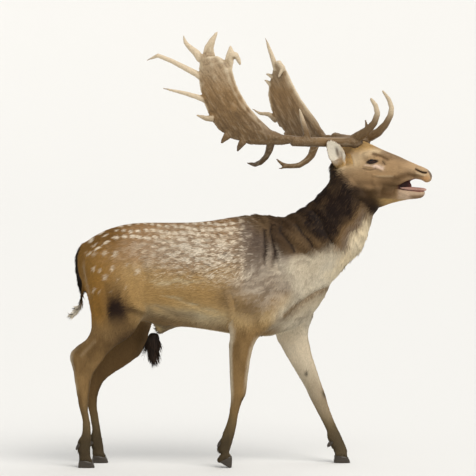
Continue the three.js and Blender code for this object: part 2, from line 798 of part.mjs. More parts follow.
// A pair of legs parted from the body under a height, within a stretch of the trunk: [legs, body].
function legsOff(body, { height, from, to }) {
  const boxAround = (side, top) => {
    const middle = [(from + to) / 2, side * (LEG_INNER + LEG_ZONE / 2), top / 2];
    const place = new THREE.Matrix4().makeTranslation(...middle);
    return solid(new THREE.BoxGeometry(to - from, LEG_ZONE, top), place);
  };
  const boxes = (top) => joined([boxAround(LEFT, top), boxAround(RIGHT, top)]);
  return [body.intersect(boxes(height - GAP / 2)), body.subtract(boxes(height + GAP / 2))];
}

const inHead = (point) => v3(...point).applyMatrix4(HEAD_PLACE).toArray();
const turned = (direction) => v3(...direction).transformDirection(HEAD_PLACE).toArray();

// The cuts: the legs off the trunk, the neck at both its ends, and the jaw off the head.
const [foreLegs, withoutFore] = legsOff(flesh, FORE_CUT);
const [hindLegs, upperBody] = legsOff(withoutFore, HIND_CUT);
const [trunkPiece, front] = parted(upperBody, NECK_CUT.point, NECK_CUT.normal);
const [neckPiece, wholeHead] = parted(front, HEAD_CUT.point, HEAD_CUT.normal);
const [headPiece, jawPiece] = parted(wholeHead, inHead(JAW_CUT.point), turned(JAW_CUT.normal));

node("trunk", trunkPiece, "coat");
node("neck", neckPiece, "neck");
node("head", headPiece, "coat");
node("jaw", jawPiece, "pale");
for (const [word, side] of SIDES) {
  const bed = [onHead(skull(GAP)), neck(GAP)];
  node(`ear_${word}`, without(onHead(ear(side)), bed), "pale");
}
for (const [end, legs] of [["fore", foreLegs], ["hind", hindLegs]]) {
  for (const leg of legs.decompose()) {
    const word = leg.boundingBox().max[1] < 0 ? "right" : "left";
    node(`leg_${end}_${word}`, leg, "coat");
  }
}

// The origin lies on the floor, under the middle of the whole deer.
const box = new THREE.Box3().setFromObject(deer);
const centre = box.getCenter(new THREE.Vector3());
deer.position.set(-centre.x, -centre.y, -box.min.z);

export default deer;
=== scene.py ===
# %% [markdown]
# # A fallow deer buck, life-size and still
#
# The plain solids of the deer are already there: they set every length and the place of every part.
# This file gives them their looks. One skin is grown from all the solids of flesh, and a coat of hair is
# laid on it tuft by tuft. The antlers, hooves, eyes, tongue and teeth are pieces of their own.

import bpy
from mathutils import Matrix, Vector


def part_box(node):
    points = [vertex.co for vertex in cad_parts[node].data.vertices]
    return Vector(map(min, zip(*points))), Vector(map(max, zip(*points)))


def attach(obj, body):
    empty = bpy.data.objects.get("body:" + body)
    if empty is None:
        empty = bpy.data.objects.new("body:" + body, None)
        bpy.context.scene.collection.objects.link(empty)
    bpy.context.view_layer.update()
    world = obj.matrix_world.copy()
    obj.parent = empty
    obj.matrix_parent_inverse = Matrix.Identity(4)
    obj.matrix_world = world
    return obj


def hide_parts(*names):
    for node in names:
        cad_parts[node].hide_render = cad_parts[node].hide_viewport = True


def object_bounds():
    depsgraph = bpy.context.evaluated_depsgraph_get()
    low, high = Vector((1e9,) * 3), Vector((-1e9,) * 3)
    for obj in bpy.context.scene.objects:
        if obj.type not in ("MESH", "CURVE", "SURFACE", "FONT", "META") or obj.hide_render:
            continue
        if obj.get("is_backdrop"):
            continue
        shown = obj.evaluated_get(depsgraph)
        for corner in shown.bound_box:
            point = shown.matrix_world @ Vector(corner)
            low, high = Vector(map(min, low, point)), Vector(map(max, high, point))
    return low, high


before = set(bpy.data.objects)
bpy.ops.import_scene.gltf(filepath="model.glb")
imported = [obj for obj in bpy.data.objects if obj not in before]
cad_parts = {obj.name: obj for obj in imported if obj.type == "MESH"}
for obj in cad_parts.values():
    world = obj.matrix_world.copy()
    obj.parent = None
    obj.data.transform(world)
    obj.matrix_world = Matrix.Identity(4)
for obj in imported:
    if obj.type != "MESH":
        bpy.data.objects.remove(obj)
CAD_BOX = [list(corner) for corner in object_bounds()]

import math

import bmesh
import bpy
import numpy as np
from mathutils import Matrix, Vector
from mathutils.kdtree import KDTree

print("solids:", len(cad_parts), "box:", CAD_BOX)

# %% [markdown]
# ## Two sets of axes
#
# A body and a turned head are easier to shape each in its own axes. The body's origin is on the floor
# under its middle plane. The head's origin is the poll, the point between the ears, and its axes turn
# with the head. Both are found from the solids, so they can't drift from them. Sizes are in millimetres.

# %% The body's axes and the head's axes
RUMP = -480.0  # where the trunk's solid begins, in the body's axes
EYE = np.array([113.0, 42.0, 17.0])  # an eye's centre in the head's axes: forwards, out, up
EYE_RADIUS = 16.5
SIDES = (("right", -1), ("left", 1))


def box_middle(node):
    """The middle of a solid's box, in metres."""
    low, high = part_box(node)
    return (np.array(low) + np.array(high)) / 2


trunk_low = np.array(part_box("trunk")[0])
body_origin = np.array([trunk_low[0] * 1000 - RUMP, box_middle("trunk")[1] * 1000, 0.0])
eye_right, eye_left = box_middle("eye_right") * 1000, box_middle("eye_left") * 1000
head_y = (eye_left - eye_right) / np.linalg.norm(eye_left - eye_right)
head_x = np.cross(head_y, [0.0, 0.0, 1.0])
HEAD_AXES = np.array([head_x, head_y, [0.0, 0.0, 1.0]])
head_origin = (eye_left + eye_right) / 2 - EYE[0] * head_x - np.array([0.0, 0.0, EYE[2]])


def in_body(points):
    """Points in metres, in the body's axes and millimetres."""
    return points * 1000 - body_origin


def in_head(points):
    """Points in metres, in the head's axes and millimetres."""
    return (points * 1000 - head_origin) @ HEAD_AXES.T


def from_head(local):
    """The way back from in_head."""
    return (local @ HEAD_AXES + head_origin) / 1000


print("body origin", body_origin.round(1), "poll", head_origin.round(1))

# %% [markdown]
# ## Camera, floor and light
#
# The camera looks square at the deer's right side from three degrees above level, through a long lens,
# so that the legs stay upright and nothing near looks too large. The floor is a plain pale disc whose rim
# curves up far away, like a studio's paper backdrop, so no horizon shows. The light is soft: a sky all
# round, one broad lamp high in front, and a weak one from behind.

# %% The camera
CAMERA_DISTANCE = 14.0
CAMERA_ELEVATION = math.radians(3.0)
FRAME_WIDTH = 1.666  # how wide the view is, at the deer
CLIP_END = 1000.0
AIM = Vector([(body_origin[0] + 80.5) / 1000, body_origin[1] / 1000, 0.798])
scene = bpy.context.scene


def new_object(name, data):
    """An object in the scene, at the origin, that holds the data."""
    item = bpy.data.objects.new(name, data)
    scene.collection.objects.link(item)
    return item


camera = new_object("camera", bpy.data.cameras.new("camera"))
back = Vector([0.0, -math.cos(CAMERA_ELEVATION), math.sin(CAMERA_ELEVATION)])
camera.location = AIM + CAMERA_DISTANCE * back
camera.rotation_euler = back.to_track_quat("Z", "Y").to_euler()
camera.data.lens = camera.data.sensor_width * CAMERA_DISTANCE / FRAME_WIDTH
camera.data.clip_end = CLIP_END
scene.camera = camera
print("lens", round(camera.data.lens, 1), "mm")

# %% The sky and the lamps
SKY_COLOUR = (1.0, 0.99, 0.97, 1.0)
SKY_STRENGTH = 0.62
scene.view_settings.view_transform = "Standard"
scene.world = bpy.data.worlds.new("sky")
scene.world.use_nodes = True
sky = scene.world.node_tree.nodes["Background"]
sky.inputs["Color"].default_value = SKY_COLOUR
sky.inputs["Strength"].default_value = SKY_STRENGTH


def lamp(name, strength, angle, towards, colour):
    """A broad distant lamp that shines towards a direction."""
    data = bpy.data.lights.new(name, "SUN")
    data.energy = strength
    data.angle = math.radians(angle)
    data.color = colour
    new_object(name, data).rotation_euler = Vector(towards).to_track_quat("-Z", "Y").to_euler()


lamp("key", strength=2.3, angle=40.0, towards=(-0.45, 0.75, -1.0), colour=(1.0, 0.96, 0.9))
lamp("edge", strength=0.7, angle=60.0, towards=(-0.6, -0.7, -0.8), colour=(0.95, 0.98, 1.0))

# %% The floor
FLOOR_RADIUS = 22.0
WALL_RADIUS = 46.0
WALL_HEIGHT = 9.0
BENDS = 14
TURNS = 96
profile = bmesh.new()
for step in range(BENDS + 1):
    angle = step / BENDS * math.pi / 2
    radius = FLOOR_RADIUS + (WALL_RADIUS - FLOOR_RADIUS) * math.sin(angle)
    profile.verts.new((radius, 0.0, WALL_HEIGHT * (1 - math.cos(angle))))
profile.verts.ensure_lookup_table()
for first, second in zip(profile.verts[:-1], profile.verts[1:]):
    profile.edges.new((first, second))
bmesh.ops.spin(
    profile, geom=[*profile.verts, *profile.edges], cent=(0, 0, 0), axis=(0, 0, 1),
    angle=math.tau, steps=TURNS, use_merge=True,
)
rim = [edge for edge in profile.edges if all(vert.co.z < 1e-6 for vert in edge.verts)]
bmesh.ops.holes_fill(profile, edges=rim)
bmesh.ops.recalc_face_normals(profile, faces=profile.faces)
bmesh.ops.reverse_faces(profile, faces=profile.faces)  # recalc takes a bowl's underside as its outside


def placed(name, shape):
    """A bmesh as an object at the origin."""
    item = new_object(name, bpy.data.meshes.new(name))
    shape.to_mesh(item.data)
    shape.free()
    return item


def new_material(name, roughness):
    """A material, its tree of nodes and its Principled shader."""
    material = bpy.data.materials.new(name)
    material.use_nodes = True
    shader = material.node_tree.nodes["Principled BSDF"]
    shader.inputs["Roughness"].default_value = roughness
    return material, material.node_tree, shader


floor = placed("floor", profile)
floor.data.shade_smooth()
floor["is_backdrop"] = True
floor_paint, tree, shader = new_material("floor_paint", 0.9)
shader.inputs["Base Color"].default_value = (0.7, 0.7, 0.69, 1)
floor.data.materials.append(floor_paint)
print("floor", len(floor.data.polygons), "faces")

# %% [markdown]
# ## Tools for shaping and marking
#
# Most of the work below moves or paints many thousands of points at once, so it is done on whole arrays.
# `fade` is a soft step, `blob` is a soft round region, and `cloud` is smooth random variation. With these
# three, a muscle, a fold, a dark patch or a row of spots is one line each. `blended` lays layers over each
# other as a painter does, and works for colours and for directions alike.

# %% Soft steps, soft regions and smooth random values
rng = np.random.default_rng(20)
CLOUD_TABLE = rng.random(4096)
CLOUD_PRIMES = (73856093, 19349663, 83492791)  # they scatter neighbouring cells over the table
SEED_PRIME = 7919


def fade(start, end, value):
    """0 before start, 1 after end, and a smooth slope between them. start may be the larger."""
    t = np.clip((value - start) / (end - start), 0.0, 1.0)
    return t * t * (3 - 2 * t)


def blob(local, centre, reach):
    """1 at the centre and fading to 0 about twice the reach away. reach may differ by axis."""
    return np.exp(-(((local - np.array(centre)) / np.array(reach)) ** 2).sum(axis=1))


def cloud(local, size, seed=0):
    """Smooth random values between 0 and 1. size is the width of a patch, and may differ by axis."""
    cell = local / np.array(size)
    corner = np.floor(cell).astype(np.int64)
    part = cell - corner
    part = part * part * (3 - 2 * part)
    total = np.zeros(len(local))
    for step in np.ndindex(2, 2, 2):
        scattered = (corner + step) * CLOUD_PRIMES
        pick = scattered[:, 0] ^ scattered[:, 1] ^ scattered[:, 2] ^ (seed * SEED_PRIME)
        share = np.prod(np.where(np.array(step) == 1, part, 1 - part), axis=1)
        total += share * CLOUD_TABLE[pick % len(CLOUD_TABLE)]
    return total


def unit(vectors):
    """Vectors made one long."""
    return vectors / np.maximum(np.linalg.norm(vectors, axis=-1, keepdims=True), 1e-9)


def blended(start, *layers):
    """Layers laid over a start in turn. Each is (colour or direction, mask)."""
    for new, mask in layers:
        start = start + (np.array(new) - start) * np.clip(mask, 0, 1)[:, None]
    return start


print("a soft step, halfway up:", fade(0, 1, 0.5))


# %% Reading and writing the points of a mesh
def read(items, what, width, kind=float):
    """One property of all of a mesh's points, edges or triangles, with a row for each."""
    flat = np.empty(len(items) * width, kind)
    items.foreach_get(what, flat)
    return flat.reshape(-1, width)


def points_of(mesh):
    """The places of the points."""
    return read(mesh.vertices, "co", 3)


def normals_of(mesh):
    """The normals of the points."""
    return read(mesh.vertices, "normal", 3)


def edges_of(mesh):
    """The two ends of every edge."""
    return read(mesh.edges, "vertices", 2, np.int32)


def set_points(mesh, points):
    """Moves all of a mesh's points."""
    mesh.vertices.foreach_set("co", points.ravel())
    mesh.update()


def push(mesh, distance):
    """Moves each point along its normal by its own distance in millimetres."""
    set_points(mesh, points_of(mesh) + normals_of(mesh) * distance[:, None] / 1000)


print("the floor's", len(points_of(floor.data)), "points have", len(edges_of(floor.data)), "edges")


# %% Smoothing
def averaged(mesh, values, rounds):
    """Three numbers at each point, drawn halfway to its neighbours' mean for a number of rounds."""
    edges = edges_of(mesh)
    count = len(values)
    rounds = np.broadcast_to(rounds, count)
    ends = np.concatenate([edges[:, 0], edges[:, 1]])
    others = np.concatenate([edges[:, 1], edges[:, 0]])
    degree = np.maximum(np.bincount(ends, minlength=count), 1)
    for turn in range(int(np.max(rounds))):
        middle = np.stack(
            [np.bincount(ends, values[others, axis], count) / degree for axis in range(3)], axis=1
        )
        share = 0.5 * np.clip(rounds - turn, 0.0, 1.0)[:, None]
        values = values + share * (middle - values)
    return values


def relaxed(mesh, rounds):
    """The mesh's points, smoothed. Convex forms grow thinner."""
    return averaged(mesh, points_of(mesh), rounds)


def relaxed_full(mesh, rounds):
    """The mesh's points, smoothed, with the thickness that smoothing takes given back."""
    before = points_of(mesh)
    after = averaged(mesh, before, rounds)
    return after + averaged(mesh, before - after, rounds)


print("smoothing ready")

# %% [markdown]
# ## One skin
#
# A real hide has no joins, so the separate solids of flesh have to become one surface. A copy of each is
# swollen by a hair's breadth until they touch, and a Remesh modifier in voxel mode wraps one new surface
# round them all. The face needs a finer wrap than the flanks, so the head is wrapped apart, both wraps
# are cut across the upper neck, and `bridge_loops` sews the two rims together.

# %% Wrap the solids of flesh
SWELL = 0.0006
BODY_VOXEL = 0.0072
HEAD_VOXEL = 0.0028
LEGS = [f"leg_{end}_{side}" for end in ("fore", "hind") for side in ("right", "left")]
EARS = ["ear_right", "ear_left"]
FLESH = ["trunk", "neck", "head", "jaw", "tail", *EARS, *LEGS]


def merged_copy(names, swell=0.0):
    """One bmesh of copies of solids, with their loose triangles merged and the whole swollen a little."""
    shape = bmesh.new()
    for name in names:
        shape.from_mesh(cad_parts[name].data)
    bmesh.ops.remove_doubles(shape, verts=shape.verts, dist=1e-6)
    shape.normal_update()
    moves = [(vert, vert.normal * swell) for vert in shape.verts]
    for vert, move in moves:
        vert.co += move
    return shape


def wrapped(name, names, voxel, extra=None):
    """A new surface wrapped round copies of solids, and round what the function extra adds to them."""
    shape = merged_copy(names, SWELL)
    if extra is not None:
        extra(shape)
    item = placed(name, shape)
    wrap = item.modifiers.new("wrap", "REMESH")
    wrap.mode = "VOXEL"
    wrap.voxel_size = voxel
    mesh = bpy.data.meshes.new_from_object(item.evaluated_get(bpy.context.evaluated_depsgraph_get()))
    bpy.data.objects.remove(item)
    return mesh


def cut_away(shape, point, normal, clear_front):
    """Cuts a bmesh with a plane, drops what is in front of or behind it, and gives the cut edges."""
    cut = bmesh.ops.bisect_plane(
        shape, geom=[*shape.verts, *shape.edges, *shape.faces], plane_co=Vector(point),
        plane_no=Vector(normal), clear_outer=clear_front, clear_inner=not clear_front,
    )
    return [item for item in cut["geom_cut"] if isinstance(item, bmesh.types.BMEdge)]


def add_shape(shape, other):
    """Adds one bmesh to another."""
    carrier = bpy.data.meshes.new("carrier")
    other.to_mesh(carrier)
    other.free()
    shape.from_mesh(carrier)


print("solids of flesh:", len(FLESH))

# %% What the wraps take in besides: the tops of the hooves, and the web of the mouth
LIFTED_TOP = 0.048  # a hoof that stands on the floor is lower than this
LIFTED_UP = np.array([-0.45, 0.0, 0.89])
STANDING_UP = np.array([0.14, 0.0, 0.99])
CORONET_ABOVE = 0.002
CORONET_SWELL = 0.0022
WEB_PLACE = np.array([206.0, 0.0, -70.0])
WEB_REACH = np.array([40.0, 11.5, 24.0])


def coronet_plane(name):
    """A point on the line where hair ends and horn begins on a hoof, and the way up the leg from it."""
    way_up = LIFTED_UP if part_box(name)[1][2] > LIFTED_TOP else STANDING_UP
    return box_middle(name) + CORONET_ABOVE * way_up, way_up


def coronets(shape):
    """Adds the upper part of every hoof, over which the hairy skin of the pastern reaches."""
    for name in sorted(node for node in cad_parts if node.startswith("hoof_")):
        point, way_up = coronet_plane(name)
        hoof = merged_copy([name], CORONET_SWELL)
        bmesh.ops.holes_fill(hoof, edges=cut_away(hoof, point, way_up, clear_front=False))
        add_shape(shape, hoof)


def mouth_web(shape):
    """Adds the web of cheek that closes the corners of the open mouth, a little inside the lips."""
    made = bmesh.ops.create_icosphere(shape, subdivisions=3, radius=1.0)
    for vert in made["verts"]:
        local = np.array(vert.co) * WEB_REACH + WEB_PLACE
        vert.co = Vector(from_head(local))


HEAD_NODES = ["head", "jaw", "neck", "eye_right", "eye_left", *EARS]
body_wrap = wrapped("body_wrap", FLESH, BODY_VOXEL, coronets)
head_wrap = wrapped("head_wrap", HEAD_NODES, HEAD_VOXEL, mouth_web)
print("body wrap", len(body_wrap.polygons), "faces, head wrap", len(head_wrap.polygons))

# %% Cut both wraps across the upper neck and sew them together
SEAM_POINT = np.array([430.0, -15.0, 905.0])  # in the body's axes
SEAM_NORMAL = np.array([0.62, -0.1, 0.78])
SEAM_GAP = 4.0


def half(mesh, point, keep_front):
    """A bmesh of the part of a mesh in front of, or behind, the plane of the seam."""
    shape = bmesh.new()
    shape.from_mesh(mesh)
    cut_away(shape, (point + body_origin) / 1000, SEAM_NORMAL, clear_front=not keep_front)
    return shape


skin_shape = half(body_wrap, SEAM_POINT, keep_front=False)
add_shape(skin_shape, half(head_wrap, SEAM_POINT + SEAM_GAP * SEAM_NORMAL, keep_front=True))
rims = [edge for edge in skin_shape.edges if edge.is_boundary]
sewn = bmesh.ops.bridge_loops(skin_shape, edges=rims)
bmesh.ops.recalc_face_normals(skin_shape, faces=skin_shape.faces)
print("rim edges", len(rims), "sewn with", len(sewn["faces"]), "faces; skin", len(skin_shape.faces))


# %% Drop stray bubbles, and give the eyes, nostrils and lips more points
def bubbles(shape, smallest=1000):
    """The points of every loose piece with fewer points than the smallest that counts."""
    unseen, found = set(shape.verts), []
    while unseen:
        piece = {unseen.pop()}
        front = set(piece)
        while front:
            front = {edge.other_vert(vert) for vert in front for edge in vert.link_edges} & unseen
            unseen -= front
            piece |= front
        if len(piece) < smallest:
            found += piece
    return found


def refine(shape, chooses):
    """Splits in two every edge of which a function chooses both ends."""
    close = chooses(np.array([vert.co for vert in shape.verts]))
    shape.verts.index_update()
    edges = [edge for edge in shape.edges if all(close[vert.index] for vert in edge.verts)]
    bmesh.ops.subdivide_edges(shape, edges=edges, cuts=1, use_grid_fill=True)


def near(place, reach):
    """A chooser of points within reach of a place in the head's axes, on both sides."""
    return lambda points: np.linalg.norm(mirrored_out(in_head(points)) - place, axis=1) < reach


def mirrored_out(local):
    """Points with y as the distance out from the middle plane."""
    return local * [1, 0, 1] + np.abs(local) * [0, 1, 0]


FOOT_HEIGHT = 0.105
EYELIDS, NOSTRILS = (EYE[0], 50.0, EYE[2]), (289.0, 24.0, -22.0)
bmesh.ops.delete(skin_shape, geom=bubbles(skin_shape), context="VERTS")
for place, reach in ((EYELIDS, 24.0), (EYELIDS, 22.0), (NOSTRILS, 21.0)):
    refine(skin_shape, near(place, reach))
refine(skin_shape, lambda points: points[:, 2] < FOOT_HEIGHT)
bmesh.ops.triangulate(skin_shape, faces=[face for face in skin_shape.faces if len(face.verts) > 4])
skin = placed("skin", skin_shape)
print("skin", len(skin.data.vertices), "points,", len(skin.data.polygons), "faces")

# %% [markdown]
# ## Rounding the forms
#
# The solids have flat facets, broad ones on the trunk and small ones on the legs. Relaxing draws each
# point towards its neighbours and melts the facets away, but it thins what it smooths. So every place
# gets its own amount, given as a spread: about the square of the width that is blurred. The thinning is
# welcome on the trunk and the neck, because the skin has to lie as deep inside the solids as the coat
# is thick. The slender parts get it back: what they lost is averaged too, and added again.

# %% Which part of the deer a point belongs to
HEAD_PLANE = (np.array([498.0, 0.0, 985.0]), unit(np.array([0.86, -0.2, 0.62])))
EAR_ROOT = np.array([3.0, 54.0, -7.0])  # a left ear, in the head's axes
EAR_LENGTH = unit(np.array([-0.04, 0.755, 0.653]))
NECK_ROOT = np.array([318.0, 0.0, 758.0])  # the middle of the neck's root, in the body's axes
NECK_UP = unit(np.array([0.62, 0.0, 0.78]))
NECK_ACROSS = unit(np.array([0.78, 0.0, -0.62]))  # towards the throat


def along_ear(head):
    """How far along the ear a point is, and how far from the line through its middle."""
    arm = mirrored_out(head) - EAR_ROOT
    along = arm @ EAR_LENGTH
    return along, np.linalg.norm(arm - along[:, None] * EAR_LENGTH, axis=1)


def zones(points):
    """Soft masks of the parts of the deer, and the points in both sets of axes."""
    body, head = in_body(points), in_head(points)
    z = {"body": body, "head": head, "out": mirrored_out(body), "face": mirrored_out(head)}
    ahead = (body - HEAD_PLANE[0]) @ HEAD_PLANE[1]
    along, away = along_ear(head)
    z["ear"] = fade(4, 14, along) * fade(52, 44, away) * (head[:, 0] < 56)
    z["skull"] = fade(-14, 14, ahead) * (1 - z["ear"])
    z["leg"] = fade(475, 430, body[:, 2])
    z["tail"] = fade(-462, -470, body[:, 0]) * fade(22, 16, z["out"][:, 1]) * fade(500, 512, body[:, 2])
    z["up_neck"] = (body - NECK_ROOT) @ NECK_UP
    z["across_neck"] = (body - NECK_ROOT) @ NECK_ACROSS
    z["neck"] = fade(-50, 40, z["up_neck"]) * (1 - z["skull"]) * (1 - z["ear"])
    z["trunk"] = (1 - z["neck"]) * (1 - z["skull"]) * (1 - z["ear"]) * (1 - z["leg"]) * (1 - z["tail"])
    return z


def zoned(z, values):
    """A number that has one value in each zone and blends between them."""
    return sum(z[name] * value for name, value in zip(ZONES, values))


ZONES = ("trunk", "neck", "skull", "ear", "leg", "tail")
where = zones(points_of(skin.data))
print({name: int((where[name] > 0.5).sum()) for name in ZONES})

# %% Melt the facets
SPREAD = (520.0, 260.0, 30.0, 6.0, 34.0, 14.0)  # in each of the zones
MOST_ROUNDS = 320
FULL_ROUNDS = 40  # of the smoothing that gives slender parts their thickness back


def spacing(mesh):
    """The mean length of the edges at each point, in millimetres."""
    points, edges = points_of(mesh) * 1000, edges_of(mesh)
    length = np.linalg.norm(points[edges[:, 0]] - points[edges[:, 1]], axis=1)
    count = len(points)
    total = sum(np.bincount(edges[:, end], length, count) for end in (0, 1))
    number = sum(np.bincount(edges[:, end], minlength=count) for end in (0, 1))
    return total / np.maximum(number, 1)


body, head, face = where["body"], where["head"], where["face"]
spread = zoned(where, SPREAD)
for amount, mask in (
    (150.0, fade(620, 480, body[:, 2]) * where["trunk"]),  # the thighs
    (420.0, blob(head, (70.0, 0.0, -170.0), (60.0, 60.0, 45.0))),  # the throat
    (9.0, fade(110, 80, body[:, 2])),  # the feet
):
    spread = spread * (1 - mask) + amount * mask
mouth = blob(face, (262.0, 0.0, -74.0), (75.0, 60.0, 26.0))
spread = spread * (1 - 0.75 * np.clip(1.6 * mouth, 0, 1))
rounds = np.minimum(spread / (spacing(skin.data) ** 2 / 8), MOST_ROUNDS)
solid_points = points_of(skin.data)
melted = relaxed(skin.data, rounds)
slender = np.clip(where["leg"] + 0.6 * where["skull"] + where["ear"], 0, 1)
lost = (solid_points - melted) * slender[:, None]
set_points(skin.data, melted + averaged(skin.data, lost, np.minimum(rounds, FULL_ROUNDS) * slender))
print("rounds of relaxing: up to", int(rounds.max()))

# %% [markdown]
# ## Sinking and sculpting
#
# The solids reach out to the tips of the hair, so the skin is pushed inwards by the depth of the coat:
# most on the neck and the tail, and least on the face and the ears. The same pass presses in the folds of
# the neck, the crease of the breast, the hollows between muscles and the pits and bones of the face. Each
# is a row of a table: a route over the surface, its width, and its depth along the surface's normal.

# %% How deep the coat is, and the folds under it
COAT_DEPTH = (2.0, 5.0, 0.5, 0.0, 0.9, 7.0)  # in each of the zones


def groove(local, start, end, width):
    """1 on the line between two places and fading across it."""
    start, end = np.array(start), np.array(end)
    line = end - start
    share = np.clip((local - start) @ line / (line @ line), 0, 1)
    gap = np.linalg.norm(local - start - share[:, None] * line, axis=1)
    return np.exp(-((gap / width) ** 2)) * np.sin(np.pi * np.clip(share, 0.02, 0.98)) ** 0.7


def on_side(local, route, width):
    """1 along a route of (forwards, up) on both sides, however far out the surface lies there."""
    best = np.zeros(len(local))
    for (x0, z0), (x1, z1) in zip(route, route[1:]):
        dx, dz = x1 - x0, z1 - z0
        share = np.clip(((local[:, 0] - x0) * dx + (local[:, 2] - z0) * dz) / (dx * dx + dz * dz), 0, 1)
        gap = np.hypot(local[:, 0] - x0 - share * dx, local[:, 2] - z0 - share * dz)
        best = np.maximum(best, np.exp(-((gap / width) ** 2)))
    return best


def oval(local, centre, reach):
    """1 at a (forwards, up) place and fading round it, however far out the surface lies there."""
    return blob(local[:, ::2], centre, reach)


# %% Where the folds, the hollows and the bones are
NECK_CREASES = [  # routes of (forwards, up)
    [(202, 848), (197, 826), (204, 788), (213, 754), (205, 712)],
    [(213, 760), (219, 728), (223, 698)],
    [(240, 862), (234, 826), (249, 807), (264, 782), (278, 755)],
    [(290, 852), (307, 822), (326, 802), (342, 776)],
    [(346, 900), (361, 876), (381, 842), (401, 812), (412, 795)],
    [(176, 826), (178, 769), (175, 720)],
]
BREAST_CREASE = [(406, 634), (350, 611), (290, 576), (246, 540)]
BODY_HOLLOWS = [  # where muscles meet: a route of (forwards, up), how wide and how deep
    ([(136, 812), (104, 735), (100, 655), (72, 590)], 15.0, 3.5),
    ([(62, 610), (74, 555), (52, 512)], 9.0, 4.0),
    ([(-262, 735), (-238, 655), (-262, 590), (-228, 540)], 17.0, 4.5),
    ([(-382, 640), (-372, 560), (-396, 480)], 12.0, 2.5),
    ([(-196, 560), (-120, 528), (-20, 520)], 12.0, 2.5),
    ([(-170, 600), (-90, 580), (10, 542)], 7.0, 2.0),
]
FACE_RELIEF = [  # the bones and folds of the face, in the same way: a depth below 0 stands out
    ([(150, 18), (160, 6)], 4.0, 4.0),
    ([(84, -3), (104, -8), (128, -6)], 2.4, 2.4),
    ([(90, -14), (112, -17), (134, -13)], 2.4, 2.0),
    ([(136, 2), (158, -14)], 2.6, 2.0),
    ([(132, -2), (150, -12)], 5.0, -2.5),
    ([(122, -32), (158, -34), (196, -32)], 5.5, -3.2),
    ([(130, -44), (170, -47), (200, -48)], 7.0, 2.2),
    ([(134, 34), (156, 30), (176, 26)], 4.5, 3.6),
    ([(92, 42), (120, 46), (150, 43), (178, 34)], 6.0, -2.4),
    ([(70, -112), (104, -104), (126, -80), (120, -56)], 9.0, -3.0),
    ([(146, -66), (142, -96)], 7.0, 2.6),
    ([(52, 34), (62, 18), (66, 0)], 8.0, 1.0),
    ([(214, -2), (246, -8), (262, -12)], 6.0, -2.0),
    ([(236, -30), (258, -34)], 5.0, 2.4),
    ([(206, -58), (232, -46), (262, -38), (296, -44)], 4.0, -1.6),
    ([(198, -74), (188, -84), (186, -96)], 3.0, 2.0),
    ([(206, -88), (240, -102), (280, -106)], 4.0, -1.6),
]


def carved(local, relief):
    """The depth that a table of (route, width, depth) gives at each point."""
    return sum(deep * on_side(local, route, wide) for route, wide, deep in relief)


print(len(NECK_CREASES), "creases,", len(BODY_HOLLOWS), "hollows,", len(FACE_RELIEF), "forms of the face")


# %% Push the skin in
def neck_folds(z, width):
    """The creases at the root of the neck: 1 along the bottom of each."""
    swayed = z["body"] + 6 * (cloud(z["body"], 45, seed=3)[:, None] - 0.5)
    deepest = np.max([on_side(swayed, route, width) for route in NECK_CREASES], axis=0)
    return deepest * fade(24, 44, z["out"][:, 1])


def neck_waves(z):
    """Shallow ruffles across the neck, between the creases."""
    phase = (z["up_neck"] + 26 * cloud(z["body"], 90, seed=4)) / 34
    ruffle = np.exp(-(((phase - np.round(phase)) / 0.18) ** 2))
    ruffle = ruffle * fade(60, 20, z["across_neck"])
    return ruffle * fade(-60, -20, z["up_neck"]) * fade(200, 130, z["up_neck"])


def press(z):
    """How far the skin lies inside the solids, everywhere."""
    body, face, out = z["body"], z["face"], z["out"][:, 1]
    height = body[:, 2]
    heel = fade(-0.1, -0.7, z["normals"][:, 0]) * fade(48, 66, height) * fade(112, 92, height)
    depth = zoned(z, COAT_DEPTH) * fade(30, 120, height) - 3.0 * heel
    depth += 6.5 * neck_folds(z, 11.0) + 2.2 * neck_waves(z)
    depth += 6.0 * on_side(body, BREAST_CREASE, 8.0) * z["trunk"] * fade(20, 40, out)
    depth += carved(body, BODY_HOLLOWS) * z["trunk"] * fade(30, 60, out)
    philtrum = np.exp(-((face[:, 1] / 2.6) ** 2)) * fade(304, 309, face[:, 0]) * fade(-28, -34, face[:, 2])
    relief = carved(face, FACE_RELIEF) * fade(10, 20, face[:, 1]) + 1.8 * philtrum
    return depth + relief * fade(0.3, 0.8, z["skull"])


where["normals"] = normals_of(skin.data)
depth = press(where)
push(skin.data, -depth)
print("deepest", round(float(depth.max()), 1), "mm")

# %% [markdown]
# ## Eyelids and nostrils
#
# The wrap ran over the eyeballs as if they were closed. The lids are what is left of it when an almond
# between them is pushed back behind the ball: the rest is held just outside the ball, as a lid slides.
# The buck calls with half-closed eyes, so the almond is long and low. A nostril is a comma that is
# pushed in along the surface.

# %% Open the eyes
OPENING_LONG, OPENING_ABOVE, OPENING_BELOW = 16.5, 4.4, 4.9  # the almond, from its middle
LID = 1.7  # how thick a lid is
BEHIND = 4.0  # how far behind the ball's surface the almond is pushed


def eye_axes(side):
    """Directions along the slit, up across it and out of the head, for one eye, in the head's axes."""
    outward = unit(np.array([0.16, 0.97 * side, 0.18]))
    slit = np.array([1.0, 0.0, 0.12])
    along = unit(slit - outward * (slit @ outward))
    up = np.cross(outward, along) * side
    return along, up * np.sign(up[2]), outward


